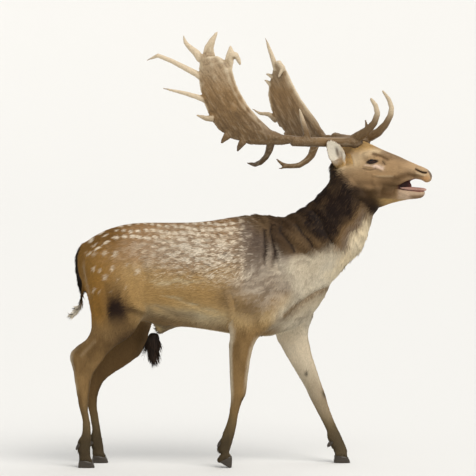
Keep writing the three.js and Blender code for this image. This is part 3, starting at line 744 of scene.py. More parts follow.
def opened(head, side):
    """The head's points with one eye opened."""
    centre = EYE * [1, side, 1]
    along, up, outward = eye_axes(side)
    arm = head - centre
    u, v, w = arm @ along, arm @ up, arm @ outward
    curve = np.clip(1 - (u / OPENING_LONG) ** 2, 0, None)
    inside = np.minimum(OPENING_ABOVE * curve - v, OPENING_BELOW * curve + v)
    radius = np.linalg.norm(arm, axis=1)
    lid = np.maximum(radius, EYE_RADIUS + LID)
    share = fade(-0.7, 0.9, inside)
    wanted = lid * (1 - share) + (EYE_RADIUS - BEHIND) * share
    crease = np.exp(-(((v - OPENING_ABOVE * curve - 6.0) / 1.6) ** 2)) * (np.abs(u) < 20)
    wanted = wanted - 1.4 * crease * fade(21, 15, np.abs(u))
    touch = fade(23, 19, np.hypot(u, v)) * fade(4, 9, w)
    return head + (unit(arm) * wanted[:, None] - arm) * touch[:, None]


head_points = in_head(points_of(skin.data))
for _, side in SIDES:
    head_points = opened(head_points, side)
near_head = zones(points_of(skin.data))["skull"] > 0.5
set_points(skin.data, np.where(near_head[:, None], from_head(head_points), points_of(skin.data)))
print("eyes opened,", int(near_head.sum()), "points in the head")

# %% Open the nostrils
face = mirrored_out(in_head(points_of(skin.data)))
NOSTRIL = [(266, -10), (276, -15), (288, -20), (302, -22)]
NOSTRIL_RELIEF = [
    (NOSTRIL, 3.0, 8.5),
    ([(264, -17), (278, -24), (292, -29), (304, -30)], 3.2, -2.0),  # the lower rim
    ([(270, -2), (286, -8), (300, -11)], 4.5, -2.0),  # the wing above
]
push(skin.data, -carved(face, NOSTRIL_RELIEF) * fade(9, 15, face[:, 1]))
skin.data.shade_smooth()
print("nostrils opened")

# %% [markdown]
# ## The markings
#
# A fallow buck in autumn is chestnut brown above and cream below, with rows of white spots along the back
# and scattered ones on the haunch. In the rut his neck is nearly black, and dust and grey hairs dull the
# shoulder. Skin and coat have to carry the same markings, so they are one function: it takes places on
# the hide and gives their colour. It is painted in layers, each a row with a colour and a soft mask. The
# numbers in a mask are places in millimetres: forwards, out and up in the body's or the head's axes.

# %% The palette
def paint(red, green, blue):
    """A colour as a painter mixes it on screen, made linear as the shaders want it."""
    value = np.array([red, green, blue]) / 255
    return np.where(value <= 0.04045, value / 12.92, ((value + 0.055) / 1.055) ** 2.4)


CHESTNUT = paint(156, 118, 74)
BACK_BROWN = paint(132, 101, 68)
RUMP_TAN = paint(148, 108, 48)
# painted shade for the top of the rump, which the sky lights most
RUMP_TOP_SHADE = paint(116, 82, 38)
FLANK_TAN = paint(172, 138, 86)
FLANK_GOLD = paint(206, 176, 124)
CREAM = paint(214, 197, 160)
SPOT = paint(228, 212, 188)
GRIZZLE_PALE = paint(214, 202, 182)
GRIZZLE_DARK = paint(112, 92, 72)
SHOULDER_GREY = paint(104, 86, 72)
SHOULDER_PALE = paint(206, 190, 168)
NECK_DARK = paint(27, 13, 7)
NECK_BROWN = paint(66, 47, 28)
# painted shade for the folds of the neck
FOLD_SHADE = paint(34, 21, 11)
JOWL_BROWN = paint(58, 40, 16)
NECK_TAN = paint(126, 100, 68)
CHEST_PALE = paint(214, 201, 176)
THROAT_PALE = paint(236, 218, 184)
# painted shade for the fold in front of the thigh
THIGH_FOLD_SHADE = paint(34, 17, 8)
LEG_TAN = paint(145, 115, 73)
LEG_BROWN = paint(104, 78, 44)
LEG_PALE = paint(232, 217, 190)
LEG_MIST = paint(172, 156, 130)
LEG_LOW = paint(104, 88, 60)
FOOT_DARK = paint(50, 42, 30)
FACE_TAN = paint(168, 137, 100)
FACE_PALE = paint(224, 200, 162)
FACE_BROWN = paint(116, 88, 58)
FOREHEAD_GOLD = paint(204, 164, 104)
EYE_SKIN = paint(40, 29, 23)
PINK_WHITE = paint(226, 200, 180)
MUZZLE_TAN = paint(184, 154, 118)
NOSE_DARK = paint(40, 28, 22)
NOSE_ORANGE = paint(200, 146, 92)
LIP_PINK = paint(188, 162, 136)
# painted shade for the inside of the mouth
MOUTH_SHADE = paint(38, 15, 12)
MOUTH_RED = paint(104, 44, 38)
JAW_GOLD = paint(178, 146, 94)
JAW_SHADE = paint(84, 60, 34)
EAR_WHITE = paint(252, 242, 222)
EAR_DARK = paint(74, 54, 38)
TAIL_BLACK = paint(34, 25, 17)
TAIL_WHITE = paint(224, 214, 194)
print("palette mixed; chestnut is", CHESTNUT.round(3))


# %% White spots: rows along the back, and a few scattered on the haunch
SPOT_ROWS = 4
ROW_GAP = 19.0
SPOT_GAP = 27.0
SPOT_SIZE = (10.5, 5.2)  # half as long and half as high as a spot
FIRST_ROW = 7  # how far below the line of the back it runs
HAUNCH_SPOT_SIZE = (6.2, 8.4)
HAUNCH_SPOTS = [
    (-412, 753), (-373, 754), (-339, 752), (-414, 702), (-392, 697), (-347, 704), (-296, 714),
    (-372, 674), (-330, 664), (-414, 628), (-393, 622), (-262, 690), (-300, 640), (-352, 626),
]


def back_height(x):
    """The height of the line of the back."""
    return 862.0 + 10.0 * np.cos((x + 260) / 120) + 20.0 * fade(0, 170, x) - 60.0 * fade(-330, -470, x)


def spots(body):
    """1 in a white spot and 0 between them."""
    x, z = body[:, 0], body[:, 2]
    below = back_height(x) - z
    row = np.clip(np.round((below - FIRST_ROW) / ROW_GAP), 0, SPOT_ROWS - 1)
    sway = 7 * (cloud(body * [1, 0, 0] + row[:, None] * 50, 70, seed=6) - 0.5)
    along = x - 0.45 * (z - 800) + row * 11 + 9 * cloud(body, 40, seed=7)
    place = np.round(along / SPOT_GAP)
    jitter = np.sin(place * 12.9 + row * 7.7) * 0.5
    dx = along - place * SPOT_GAP + 5 * jitter
    dz = below - FIRST_ROW - row * ROW_GAP - sway - 0.28 * dx + 3 * np.sin(place * 5.1 + row * 3)
    size = 0.85 + 0.4 * jitter
    rows = fade(1.35, 0.7, np.hypot(dx / SPOT_SIZE[0], dz / SPOT_SIZE[1]) / size)
    rows = rows * fade(-455, -420, x) * fade(150, 70, x) * fade(0, 14, np.abs(body[:, 1]))
    scattered = np.zeros(len(x))
    for spot_x, spot_z in HAUNCH_SPOTS:
        size = 0.85 + 0.3 * np.sin(spot_x * 1.7)
        dx, dz = x - spot_x - 0.25 * (z - spot_z), z - spot_z
        gap = np.hypot(dx / HAUNCH_SPOT_SIZE[0], dz / HAUNCH_SPOT_SIZE[1]) / size
        scattered = np.maximum(scattered, (0.5 + 0.5 * size) * fade(1.7, 0.4, gap))
    line_x = -452 + 0.00052 * (z - 700) ** 2 + 0.22 * np.maximum(700 - z, 0)
    rump_line = fade(6, 2, np.abs(x - line_x)) * fade(590, 630, z) * fade(745, 700, z)
    return np.clip(rows + 0.6 * scattered + 0.2 * rump_line, 0, 1)


print(SPOT_ROWS, "rows of spots and", len(HAUNCH_SPOTS), "on the haunch")


# %% The body
def shoulder_blade(body):
    """1 on the dull grey patch over the shoulder blade."""
    return oval(body, (152, 782), (62, 74))


def body_colour(z):
    """The back, the flanks, the belly and the haunch."""
    body, normals = z["body"], z["normals"]
    x, out, h = body[:, 0], z["out"][:, 1], body[:, 2]
    broad, fine = cloud(body, 70, seed=8), cloud(body, (17, 17, 7), seed=9)
    glow = oval(body, (-80, 762), (190, 60))
    dapple = oval(body, (165, 655), (100, 90))
    pale = 1.15 * glow + 0.9 * dapple + 0.25 * fade(-250, 0, x) * fade(620, 700, h)
    pale = pale * (1 - 0.8 * shoulder_blade(body))
    fleck = fade(0.42, 0.6, fine)
    # painted shade: brown on the flank just behind the elbow
    shade_behind_elbow = oval(body, (40, 602), (30, 44))
    low_dapple = oval(body, (168, 610), (46, 46))
    elbow = oval(body, (122, 565), (60, 38))
    under = fade(-0.35, -0.8, normals[:, 2]) * fade(660, 610, h)
    streaky = cloud(body, (12, 12, 40), seed=17) - 0.5
    # the fold where the thigh meets the flank, which gets painted shade below
    gap = np.hypot((x + 332 + 0.12 * (h - 545) + 16 * streaky) / 36, (h - 545 + 26 * streaky) / 78)
    # painted shade along the fold that runs from the stifle forward under the flank
    fold = on_side(body, [(-300, 566), (-242, 540), (-120, 500)], 13.0) * fade(20, 50, out)
    low_sheen = on_side(body, [(-172, 612), (-110, 592), (16, 548)], 7.0)
    high_sheen = on_side(body, [(-200, 652), (-110, 655), (-30, 645)], 15.0)
    sheen = np.maximum(low_sheen, high_sheen) * fade(30, 60, out)
    front_belly = np.exp(-(((x - 2) / 75) ** 2) - ((h - 508 + 0.2 * x) / 34) ** 2)
    return blended(
        CHESTNUT,
        (BACK_BROWN, fade(30, 8, out) * fade(800, 840, h)),
        (RUMP_TAN, fade(-250, -400, x + 60 * (broad - 0.5))),
        (FLANK_TAN, fade(745, 680, h + 40 * (broad - 0.5)) * fade(-400, -280, x)),
        (FLANK_GOLD, fade(600, 530, h + 30 * (broad - 0.5)) * fade(-330, -180, x)),
        (SHOULDER_GREY, fade(40, 130, x + 50 * (broad - 0.5)) * fade(590, 640, h)),
        (GRIZZLE_DARK, 0.4 * pale * (1 - fleck)),
        (GRIZZLE_PALE, pale * fleck * (0.55 + 0.45 * glow)),
        (SHOULDER_PALE, 0.45 * dapple + 0.5 * glow),
        # painted shade behind the elbow
        (LEG_BROWN, 0.5 * shade_behind_elbow * fade(20, 50, out)),
        (SHOULDER_GREY, 0.5 * low_dapple * fade(0.3, 0.7, broad)),
        (SHOULDER_PALE, 0.5 * low_dapple * fade(0.45, 0.65, fine)),
        (LEG_BROWN, 0.75 * elbow * fade(20, 50, out)),
        (SHOULDER_GREY, 0.85 * shoulder_blade(body)),
        (SPOT, spots(body) * z["trunk"]),
        (CREAM, under * fade(-420, -330, x)),
        # the dark stripe of hair along the sheath, and painted shade where the belly faces down
        (LEG_BROWN, 0.8 * under * fade(-20, -70, x) * fade(-330, -220, x)),
        # painted shade: the top of the rump darkened against the sky's light there
        (RUMP_TOP_SHADE, 0.85 * fade(740, 810, h) * fade(-270, -350, x) * (1 - spots(body))),
        # painted shade in the fold in front of the thigh: brown round it and near black in its middle
        (LEG_BROWN, 0.7 * fade(2.1, 0.8, gap) * fade(30, 60, out)),
        (THIGH_FOLD_SHADE, fade(1.25, 0.45, gap) * fade(30, 60, out)),
        # painted shade in the flank's fold
        (NECK_BROWN, 0.75 * fold * (1 - 0.6 * under)),
        (CREAM, 0.85 * front_belly * fade(66, 52, x)),
        (CREAM, 0.5 * sheen * fade(0.25, 0.75, cloud(body, (30, 9, 9), seed=18))),
    )


print("body marked")


# %% The neck
def neck_colour(z, colour):
    """The dark neck, painted shade in its folds and painted light just in front of them, and the pale chest
    and throat.
    """
    body = z["body"]
    warp = 30 * (cloud(body, 60, seed=10) - 0.5)
    x, height, up, across = body[:, 0], body[:, 2], z["up_neck"] + warp, z["across_neck"] + warp
    fine = cloud(body, (9, 9, 14), seed=11)
    upper = fade(-105, -55, up)
    patches = fade(0.5, 0.75, cloud(body, (26, 26, 34), seed=19)) * fade(90, 40, across) * fade(0, 60, up)
    above = height - 715 - 0.25 * (x - 190) + 0.6 * warp  # over the border of the dark neck
    root = fade(185, 215, x) * fade(430, 390, x) * fade(90, 40, up)
    chest = fade(18, 78, across) * fade(95, 50, up) * fade(180, 250, x)
    mottled = x + 70 * (cloud(body, 24, seed=20) - 0.5) - 0.35 * (700 - height)
    chest = np.maximum(chest * fade(34, 6, above), 0.85 * fade(16, -22, above) * fade(196, 275, mottled))
    chest = chest * fade(420, 520, height)
    dust = fade(0.45, 0.8, cloud(body, (16, 16, 11), seed=24)) * fade(400, 300, x)
    ahead_of_folds = dict(z, body=body + [-16, 0, 0])
    lit = neck_folds(ahead_of_folds, 7.0) * fade(800, 735, height) * fade(300, 260, x)
    below = on_side(body + [14, 0, 24], BREAST_CREASE, 22.0) * z["trunk"]
    return blended(
        colour,
        (NECK_TAN, fade(85, 50, across) * fade(-60, 0, up) * upper),
        (NECK_BROWN, fade(70, 22, across) * fade(-75, 20, up) * upper),
        (NECK_DARK, fade(58, 12, across) * fade(15, 90, up) * (0.75 + 0.5 * fine)),
        (NECK_TAN, 0.35 * fade(-70, -20, up) * fade(90, 30, up) * fade(70, 20, across)),
        (NECK_TAN, 0.15 * patches),
        (NECK_BROWN, 0.85 * root * fade(0, 34, above)),
        (NECK_TAN, 0.45 * root * fade(4, 26, above) * fade(125, 70, above) * fade(230, 290, x)),
        (CHEST_PALE, chest),
        (SHOULDER_GREY, 0.35 * dust * chest),
        (SHOULDER_PALE, 0.5 * lit),
        # painted shade in the neck's folds
        (FOLD_SHADE, 0.95 * neck_folds(z, 8.5) * fade(690, 760, height)),
        (NECK_TAN, 0.35 * fine * fade(40, 70, across) * fade(60, 110, up)),
        (THROAT_PALE, fade(78, 104, across) * fade(-60, 30, up) * fade(285, 215, up)),
        (LEG_BROWN, 0.8 * fade(50, 90, across) * fade(215, 285, up)),
        (LEG_TAN, 0.3 * below),
        # painted shade in the crease of the breast
        (LEG_BROWN, 0.8 * on_side(body, BREAST_CREASE, 8.0) * z["trunk"]),
    )


print("neck marked")


# %% The legs
def leg_colour(z, colour):
    """The legs: tan, paler inside the forelegs and behind, with painted shade inside the hind legs and under
    the thigh, and dark at the feet.
    """
    body, normals = z["body"], z["normals"]
    x, h = body[:, 0], body[:, 2]
    side = -np.sign(body[:, 1])
    inner = fade(0.15, 0.75, normals[:, 1] * side)
    ahead, behind = fade(0.35, 0.85, normals[:, 0]), fade(-0.35, -0.85, normals[:, 0])
    fore, hind = x > 50, x <= 50
    patch, fine = cloud(body, (25, 25, 60), seed=12), cloud(body, (9, 9, 26), seed=16)
    # painted shade on the outside of the leg, under the bulge of the thigh
    shaded_lower_thigh = oval(body, (-305, 452), (64, 54)) * (1 - inner)
    leg = fade(575, 520, h) * np.maximum(fade(25, 32, z["out"][:, 1]), fade(480, 440, h))
    low = fade(250, 130, h + 60 * (patch - 0.5))
    knee = np.exp(-(((h - 245) / 13) ** 2)) * fore * ahead
    mark = oval(body, (322, 320), (7, 9)) * inner
    return blended(
        colour,
        # painted shade under the thigh
        (LEG_BROWN, 0.55 * shaded_lower_thigh),
        (LEG_TAN, leg * fade(560, 470, h)),
        (LEG_BROWN, 0.7 * leg * hind * fade(540, 440, h) * fade(0.2, 0.8, patch + 0.3 * fine)),
        (LEG_BROWN, 0.5 * leg * fore * fade(0.35, 0.8, patch) * fade(250, 320, h)),
        (LEG_PALE, 0.9 * leg * inner * fore * fade(180, 320, h)),
        (LEG_MIST, 0.85 * leg * inner * fore * fade(420, 270, h + 60 * (patch - 0.5))),
        # painted shade on the inner side of the hind legs
        (LEG_BROWN, 0.8 * leg * inner * hind),
        (LEG_PALE, 0.75 * leg * behind * fore * fade(200, 300, h)),
        (LEG_PALE, 0.5 * leg * ahead * fore * fade(240, 330, h)),
        (FOOT_DARK, 0.45 * leg * ahead * hind * fade(420, 300, h) * fade(150, 260, h)),
        (LEG_PALE, 0.6 * leg * behind * hind * np.exp(-(((h - 385) / 42) ** 2))),
        (FACE_PALE, 0.5 * leg * behind * hind * np.exp(-(((h - 290) / 30) ** 2))),
        (LEG_BROWN, 0.6 * leg * hind * on_side(body, [(-436, 400), (-396, 462)], 9.0)),
        (FACE_PALE, 0.14 * leg * hind * on_side(body, [(-462, 400), (-414, 452)], 6.0)),
        (LEG_LOW, 0.9 * leg * low),
        (FOOT_DARK, leg * fade(160, 80, h + 40 * (patch - 0.5)) * (0.7 - 0.15 * fore)),
        # painted shade under the thigh, darker still
        (NECK_BROWN, 0.8 * shaded_lower_thigh),
        (FOOT_DARK, leg * np.maximum(0.75 * knee, 0.9 * mark)),
    )


print("legs marked")

# %% The head
LOWER_LIP = [(202, -79), (237, -82), (292, -78)]


def nose_pad(face):
    """1 on the bare pad between the nostrils, at the very front of the muzzle."""
    gap = np.hypot(face[:, 1] / (13 + 0.25 * (face[:, 2] + 28)), (face[:, 2] + 28) / 17)
    return fade(1.15, 0.8, gap) * fade(300, 306, face[:, 0])


def head_colour(z):
    """The face, the lips, the jaw and the skin round the eyes."""
    head, face = z["head"], z["face"]
    x, out, h = face[:, 0], face[:, 1], face[:, 2]
    patch, fine = cloud(head, 26, seed=13), cloud(head, (12, 5, 5), seed=14)
    sway = 30 * (patch - 0.5)
    jowl = fade(-62, -92, h + 0.6 * sway) * fade(225, 115, x + sway)
    gap = np.hypot((x - 117) / 20, (h - 15.0 - 0.12 * (x - 116)) / 7.5)
    lower = fade(-80, -86, h) * fade(-122, -112, h) * fade(196, 212, x)
    rim = fade(-111, -120, h + 0.06 * (x - 200)) * fade(242, 212, x) * fade(125, 165, x)
    return blended(
        FACE_TAN,
        (FACE_PALE, 0.65 * blob(face, (62, 52, 18), (30, 30, 28))),
        (FACE_BROWN, 0.8 * blob(face, (176, 38, -60), (52, 40, 22))),
        (FACE_BROWN, 0.5 * blob(face, (96, 50, -62), (50, 50, 22))),
        (JOWL_BROWN, 0.95 * jowl),
        (JOWL_BROWN, 0.7 * blob(face, (180, 26, -76), (34, 34, 20))),
        (NECK_DARK, 0.9 * fade(92, 4, x + h + 60 + 1.4 * sway) * fade(0, -40, h)),
        (FOREHEAD_GOLD, fade(38, 60, h) * fade(128, 90, x)),
        (FACE_PALE, 0.8 * blob(face, (118, 30, 50), (38, 26, 9))),
        (FACE_PALE, 0.6 * blob(face, (98, 56, 43), (24, 24, 12))),
        (FACE_PALE, 0.8 * blob(face, (13, 70, 2), (22, 30, 22))),
        (FACE_BROWN, 0.5 * fine * fade(34, 60, h) * fade(120, 80, x)),
        (GRIZZLE_DARK, 0.55 * on_side(face, [(150, 46), (210, 26), (260, 14)], 10.0)),
        (MUZZLE_TAN, fade(205, 265, x) * fade(-62, -40, h)),
        (FACE_BROWN, 0.75 * on_side(face, [(204, -44), (238, -30), (268, -33), (292, -38)], 11.0)),
        (JAW_SHADE, 0.5 * on_side(face, [(190, -46), (216, -33), (244, -26)], 11.0)),
        (JAW_SHADE, 0.7 * blob(face, (262, 26, -32), (14, 20, 8))),
        (FACE_PALE, 0.6 * on_side(face, [(270, -22), (290, -29), (303, -31)], 3.0)),
        (FACE_PALE, 0.35 * on_side(face, [(135, -35), (188, -35)], 2.8)),
        (JAW_SHADE, 0.85 * on_side(face, [(122, 42), (146, 34), (168, 22)], 5.5)),
        (PINK_WHITE, 0.9 * on_side(face, [(126, 0), (142, -2), (152, -7)], 7.0)),
        (PINK_WHITE, 0.5 * on_side(face, [(94, 3), (124, 1)], 3.4)),
        (EYE_SKIN, 0.6 * on_side(face, [(88, -7), (108, -12), (130, -9)], 2.2)),
        (EYE_SKIN, 0.9 * on_side(face, [(150, 16), (158, 6)], 3.2)),
        (EYE_SKIN, fade(1.25, 0.8, gap) * fade(20, 35, out)),
        (NOSE_ORANGE, 0.6 * blob(face, (303, 20, -42), (12, 14, 8))),
        (NOSE_DARK, 0.75 * nose_pad(face)),
        (LIP_PINK, np.maximum(lower, fade(196, 206, x) * on_side(face, LOWER_LIP, 5.0))),
        (FACE_BROWN, 0.8 * fade(-95, -105, h) * fade(236, 258, x)),
        (JAW_SHADE, 0.8 * blob(face, (172, 30, -98), (34, 40, 12))),
        (JAW_GOLD, 0.85 * rim * (0.7 + 0.6 * fine)),
        (JAW_SHADE, 0.5 * on_side(face, [(196, -72), (186, -90)], 5.0)),
    )


print("head marked")


# %% The mouth, the nostrils and other bare skin
def mouth_mask(z):
    """1 on the bare skin inside the mouth: the palate, the floor and the web at the corners."""
    face, facing = z["face"], z["normals"][:, 2]
    x, out, h = face[:, 0], face[:, 1], face[:, 2]
    floor_side = fade(0.35, 0.7, facing) * fade(-104, -98, h) * fade(-76, -82, h) * fade(17, 13, out)
    roof_side = fade(-0.5, -0.8, facing) * fade(-70, -64, h) * fade(-36, -40, h) * fade(15, 12, out)
    web = fade(196, 202, x) * fade(252, 246, x) * fade(-84, -81, h) * fade(-49, -53, h) * fade(16.5, 14, out)
    inside = np.maximum(floor_side, roof_side) * fade(192, 200, x) * fade(300, 294, x)
    return np.maximum(inside, web)


def nostril_mask(z, width):
    """1 in the slit of a nostril."""
    face = z["face"]
    return on_side(face, NOSTRIL, width) * fade(9, 14, face[:, 1]) * z["skull"]


def bare_mask(z):
    """1 on bare, moist skin: the mouth, the nostrils, the nose pad and the rims of the eyes."""
    face = z["face"]
    gap = np.hypot((face[:, 0] - 116) / 18, (face[:, 2] - 15.5) / 6.0)
    lid = fade(1.15, 0.85, gap) * fade(20, 35, face[:, 1])
    whole = mouth_mask(z) + 1.3 * nostril_mask(z, 4.0) + lid + nose_pad(face)
    return np.clip(whole, 0, 1) * fade(0.25, 0.75, z["skull"])


print("bare skin marked")

# %% The ears and the tail
EAR_HOLLOW = unit(np.array([0.53, -0.6, -0.59]))  # the way the hollow of a left ear faces


def ear_colour(z):
    """The ear: brown behind, and white with a dark slit inside."""
    along, away = along_ear(z["head"])
    facing = z["normals"] @ HEAD_AXES.T
    facing[:, 1] *= np.sign(z["head"][:, 1])  # as on a left ear
    inside = fade(-0.1, 0.35, facing @ EAR_HOLLOW)
    rim = fade(20, 34, away) * fade(40, 80, along)
    slit = groove(z["face"], (10, 126, 66), (6, 84, 27), 5.0)
    slit += 0.5 * groove(z["face"], (20, 104, 52), (16, 74, 22), 3.0)
    return blended(
        CHESTNUT,
        (EAR_DARK, 0.5 * fade(60, 110, along)),
        (EAR_WHITE, inside),
        (FOREHEAD_GOLD, 0.5 * rim * inside),
        (EAR_DARK, 1.2 * slit * inside),
        (FOREHEAD_GOLD, fade(30, 12, along + 10 * (cloud(z["head"], 9, seed=15) - 0.5))),
    )


def tail_colour(z):
    """The tail: black with a white tip."""
    return blended(TAIL_BLACK, (TAIL_WHITE, fade(582, 566, z["body"][:, 2])))


print("ears and tail marked")

# %% The whole hide
BODY_SHADE = 0.84  # the body's colours are mixed a little light, so all are darkened together


def hide_colour(z):
    """The colour of the hide, linear, at places whose masks and normals are given."""
    mouth = mouth_mask(z) * fade(0.25, 0.75, z["skull"])
    return blended(
        BODY_SHADE * neck_colour(z, leg_colour(z, body_colour(z))),
        (head_colour(z), fade(0.15, 0.85, z["skull"])),
        (ear_colour(z), z["ear"]),
        (tail_colour(z), z["tail"]),
        (MOUTH_RED, mouth),
        # painted shade, darker towards the back of the mouth
        (MOUTH_SHADE, mouth * fade(262, 225, z["face"][:, 0])),
        (NOSE_DARK, 1.2 * nostril_mask(z, 3.6)),
    )


def add_colours(mesh, name, colours):
    """Stores one colour for each point of a mesh."""
    layer = mesh.color_attributes.new(name, "FLOAT_COLOR", "POINT")
    full = np.concatenate([colours, np.ones((len(colours), 1))], axis=1)
    layer.data.foreach_set("color", full.astype(np.float32).ravel())


def add_values(mesh, name, values):
    """Stores one number for each point of a mesh."""
    layer = mesh.attributes.new(name, "FLOAT", "POINT")
    layer.data.foreach_set("value", values.astype(np.float32))


where = zones(points_of(skin.data))
where["normals"] = normals_of(skin.data)
add_colours(skin.data, "hide_colour", hide_colour(where))
add_values(skin.data, "bare", bare_mask(where))
print("skin painted")

# %% [markdown]
# ## Shaders for hair
#
# The hide and the coat read their colours from the points of their own meshes. What is finer than the
# points is worked out in a node group that both share: streaks of lighter and darker hair, drawn out
# along the body on the flanks and down the leg on the limbs, and the same streaks as a height for the
# bump. The Principled shader stays in each material.

# %% Small tools for nodes
def wire(tree, start, end):
    """Links two sockets."""
    tree.links.new(start, end)


def new_group(name, takes, gives):
    """An empty node group with named sockets, and its two end nodes."""
    tree = bpy.data.node_groups.new(name, "ShaderNodeTree")
    for socket, kind, value in takes:
        made = tree.interface.new_socket(name=socket, in_out="INPUT", socket_type=kind)
        made.default_value = value
    for socket, kind in gives:
        tree.interface.new_socket(name=socket, in_out="OUTPUT", socket_type=kind)
    return tree, tree.nodes.new("NodeGroupInput"), tree.nodes.new("NodeGroupOutput")


def streaks(tree, coordinates, scale, detail=2.0):
    """Noise drawn out along one direction by scaling the coordinates unevenly."""
    mapping = tree.nodes.new("ShaderNodeMapping")
    mapping.inputs["Scale"].default_value = scale
    noise = tree.nodes.new("ShaderNodeTexNoise")
    noise.inputs["Scale"].default_value = 1.0
    noise.inputs["Detail"].default_value = detail
    wire(tree, coordinates, mapping.inputs["Vector"])
    wire(tree, mapping.outputs["Vector"], noise.inputs["Vector"])
    return noise.outputs["Fac"]


def mixed(tree, kind, factor, first, second, blend="MIX"):
    """A Mix node on colours or numbers. first and second are sockets or plain values."""
    node = tree.nodes.new("ShaderNodeMix")
    node.data_type = kind
    node.blend_type = blend
    pins = {"FLOAT": (2, 3), "RGBA": (6, 7)}[kind]
    for pin, value in ((0, factor), (pins[0], first), (pins[1], second)):
        if isinstance(value, bpy.types.NodeSocket):
            wire(tree, value, node.inputs[pin])
        else:
            node.inputs[pin].default_value = value
    return node.outputs[{"FLOAT": 0, "RGBA": 2}[kind]]


def ramp(tree, value, stops):
    """A ColorRamp from a list of (place, grey) or (place, colour)."""
    node = tree.nodes.new("ShaderNodeValToRGB")
    while len(node.color_ramp.elements) < len(stops):
        node.color_ramp.elements.new(0.5)
    for element, (place, shade) in zip(node.color_ramp.elements, stops):
        element.position = place
        element.color = (shade,) * 3 + (1,) if isinstance(shade, float) else (*shade, 1)
    wire(tree, value, node.inputs["Fac"])
    return node.outputs["Color"]


print("node tools ready")

# %% A node group for the grain of hair
hair_grain, taken, given = new_group(
    "hair_grain",
    [("Colour", "NodeSocketColor", (1, 1, 1, 1)), ("Upright", "NodeSocketFloat", 0.0),
     ("Contrast", "NodeSocketFloat", 0.3)],
    [("Colour", "NodeSocketColor"), ("Height", "NodeSocketFloat")],
)
place = hair_grain.nodes.new("ShaderNodeTexCoord").outputs["Object"]
level_streaks = streaks(hair_grain, place, (90.0, 420.0, 420.0))
upright_streaks = streaks(hair_grain, place, (420.0, 420.0, 90.0))
grain = mixed(hair_grain, "FLOAT", taken.outputs["Upright"], level_streaks, upright_streaks)
shade = ramp(hair_grain, grain, [(0.25, 0.35), (0.5, 0.85), (0.75, 1.35)])
darker = mixed(hair_grain, "RGBA", 1.0, taken.outputs["Colour"], shade, "MULTIPLY")
result = mixed(hair_grain, "RGBA", taken.outputs["Contrast"], taken.outputs["Colour"], darker)
wire(hair_grain, result, given.inputs["Colour"])
wire(hair_grain, grain, given.inputs["Height"])
print("hair grain ready")


# %% What the materials share
FINE_BUMP = 0.0008  # metres


def layer_of(tree, name, output="Fac"):
    """The socket of a number, or of a colour, that is stored on a mesh's points."""
    layer = tree.nodes.new("ShaderNodeAttribute")
    layer.attribute_name = name
    return layer.outputs[output]


def bumped(tree, shader, height, strength, distance):
    """Gives a shader a bump from a height."""
    bump = tree.nodes.new("ShaderNodeBump")
    bump.inputs["Strength"].default_value = strength
    bump.inputs["Distance"].default_value = distance
    wire(tree, height, bump.inputs["Height"])
    wire(tree, bump.outputs["Normal"], shader.inputs["Normal"])


def hair_material(name, roughness, specular, contrast):
    """A material with the grain of hair over the colours stored on the points, and the node of the grain."""
    material, tree, shader = new_material(name, roughness)
    shader.inputs["Specular IOR Level"].default_value = specular
    grained = tree.nodes.new("ShaderNodeGroup")
    grained.node_tree = hair_grain
    grained.inputs["Contrast"].default_value = contrast
    wire(tree, layer_of(tree, "hide_colour", "Color"), grained.inputs["Colour"])
    wire(tree, layer_of(tree, "upright"), grained.inputs["Upright"])
    wire(tree, grained.outputs["Colour"], shader.inputs["Base Color"])
    return material, tree, shader, grained


print("grain, bump and stored colours can be wired")

# %% The hide's and the coat's materials
HAIRY_ROUGHNESS, MOIST_ROUGHNESS = 0.78, 0.42
coat_paint = hair_material("coat_paint", roughness=0.62, specular=0.15, contrast=0.22)[0]
hide_paint, tree, shader, grained = hair_material("hide_paint", roughness=0.6, specular=0.2, contrast=0.3)
bare = layer_of(tree, "bare")
plain = grained.inputs["Colour"].links[0].from_socket
wire(tree, mixed(tree, "RGBA", bare, grained.outputs["Colour"], plain), shader.inputs["Base Color"])
wire(tree, mixed(tree, "FLOAT", bare, HAIRY_ROUGHNESS, MOIST_ROUGHNESS), shader.inputs["Roughness"])
bumped(tree, shader, grained.outputs["Height"], strength=0.5, distance=0.0015)


def upright_mask(z):
    """Where hair hangs down rather than runs along the body: the legs, the haunch's back, the neck."""
    return np.clip(z["leg"] + z["tail"] + 0.7 * z["neck"] + fade(-380, -450, z["body"][:, 0]), 0, 1)


def hand_over(piece, material, slot, *nodes):
    """Gives a piece its material and hides the solids that it replaces. slot is not used."""
    piece.data.materials.append(material)
    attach(piece, "root")
    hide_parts(*nodes)


add_values(skin.data, "upright", upright_mask(where))
hand_over(skin, hide_paint, "coat", *FLESH)
print("hide and coat materials ready")

# %% [markdown]
# ## The coat
#
# Hair seen from a few steps away isn't single hairs but small locks that lie over each other like
# shingles. Each lock here is a closed spindle: a root, one ring of three points or two, and a tip. The
# roots are spread evenly over the hide, the locks follow the lie of a deer's coat, and each has the hide's
# own colour at its root, a little lighter or darker. They are short on the face and the feet, and long on
# the neck, the breast and the tail. An operator makes the first lock. The rest are copied as arrays,
# because a million faces are too many to make one by one. Their shading normals lean towards the hide's
# own, so that the coat is lit as one soft surface and not as a heap of facets.

# %% One lock, made with operators
LOCK_SHAPE = (1.15, 0.35)  # how wide and how high, against the cone it starts from
SHORT_RINGS = [(0.42, 1.0)]  # how far along the lock a ring lies, and how wide it is
LONG_RINGS = [(0.32, 1.0), (0.68, 0.75)]


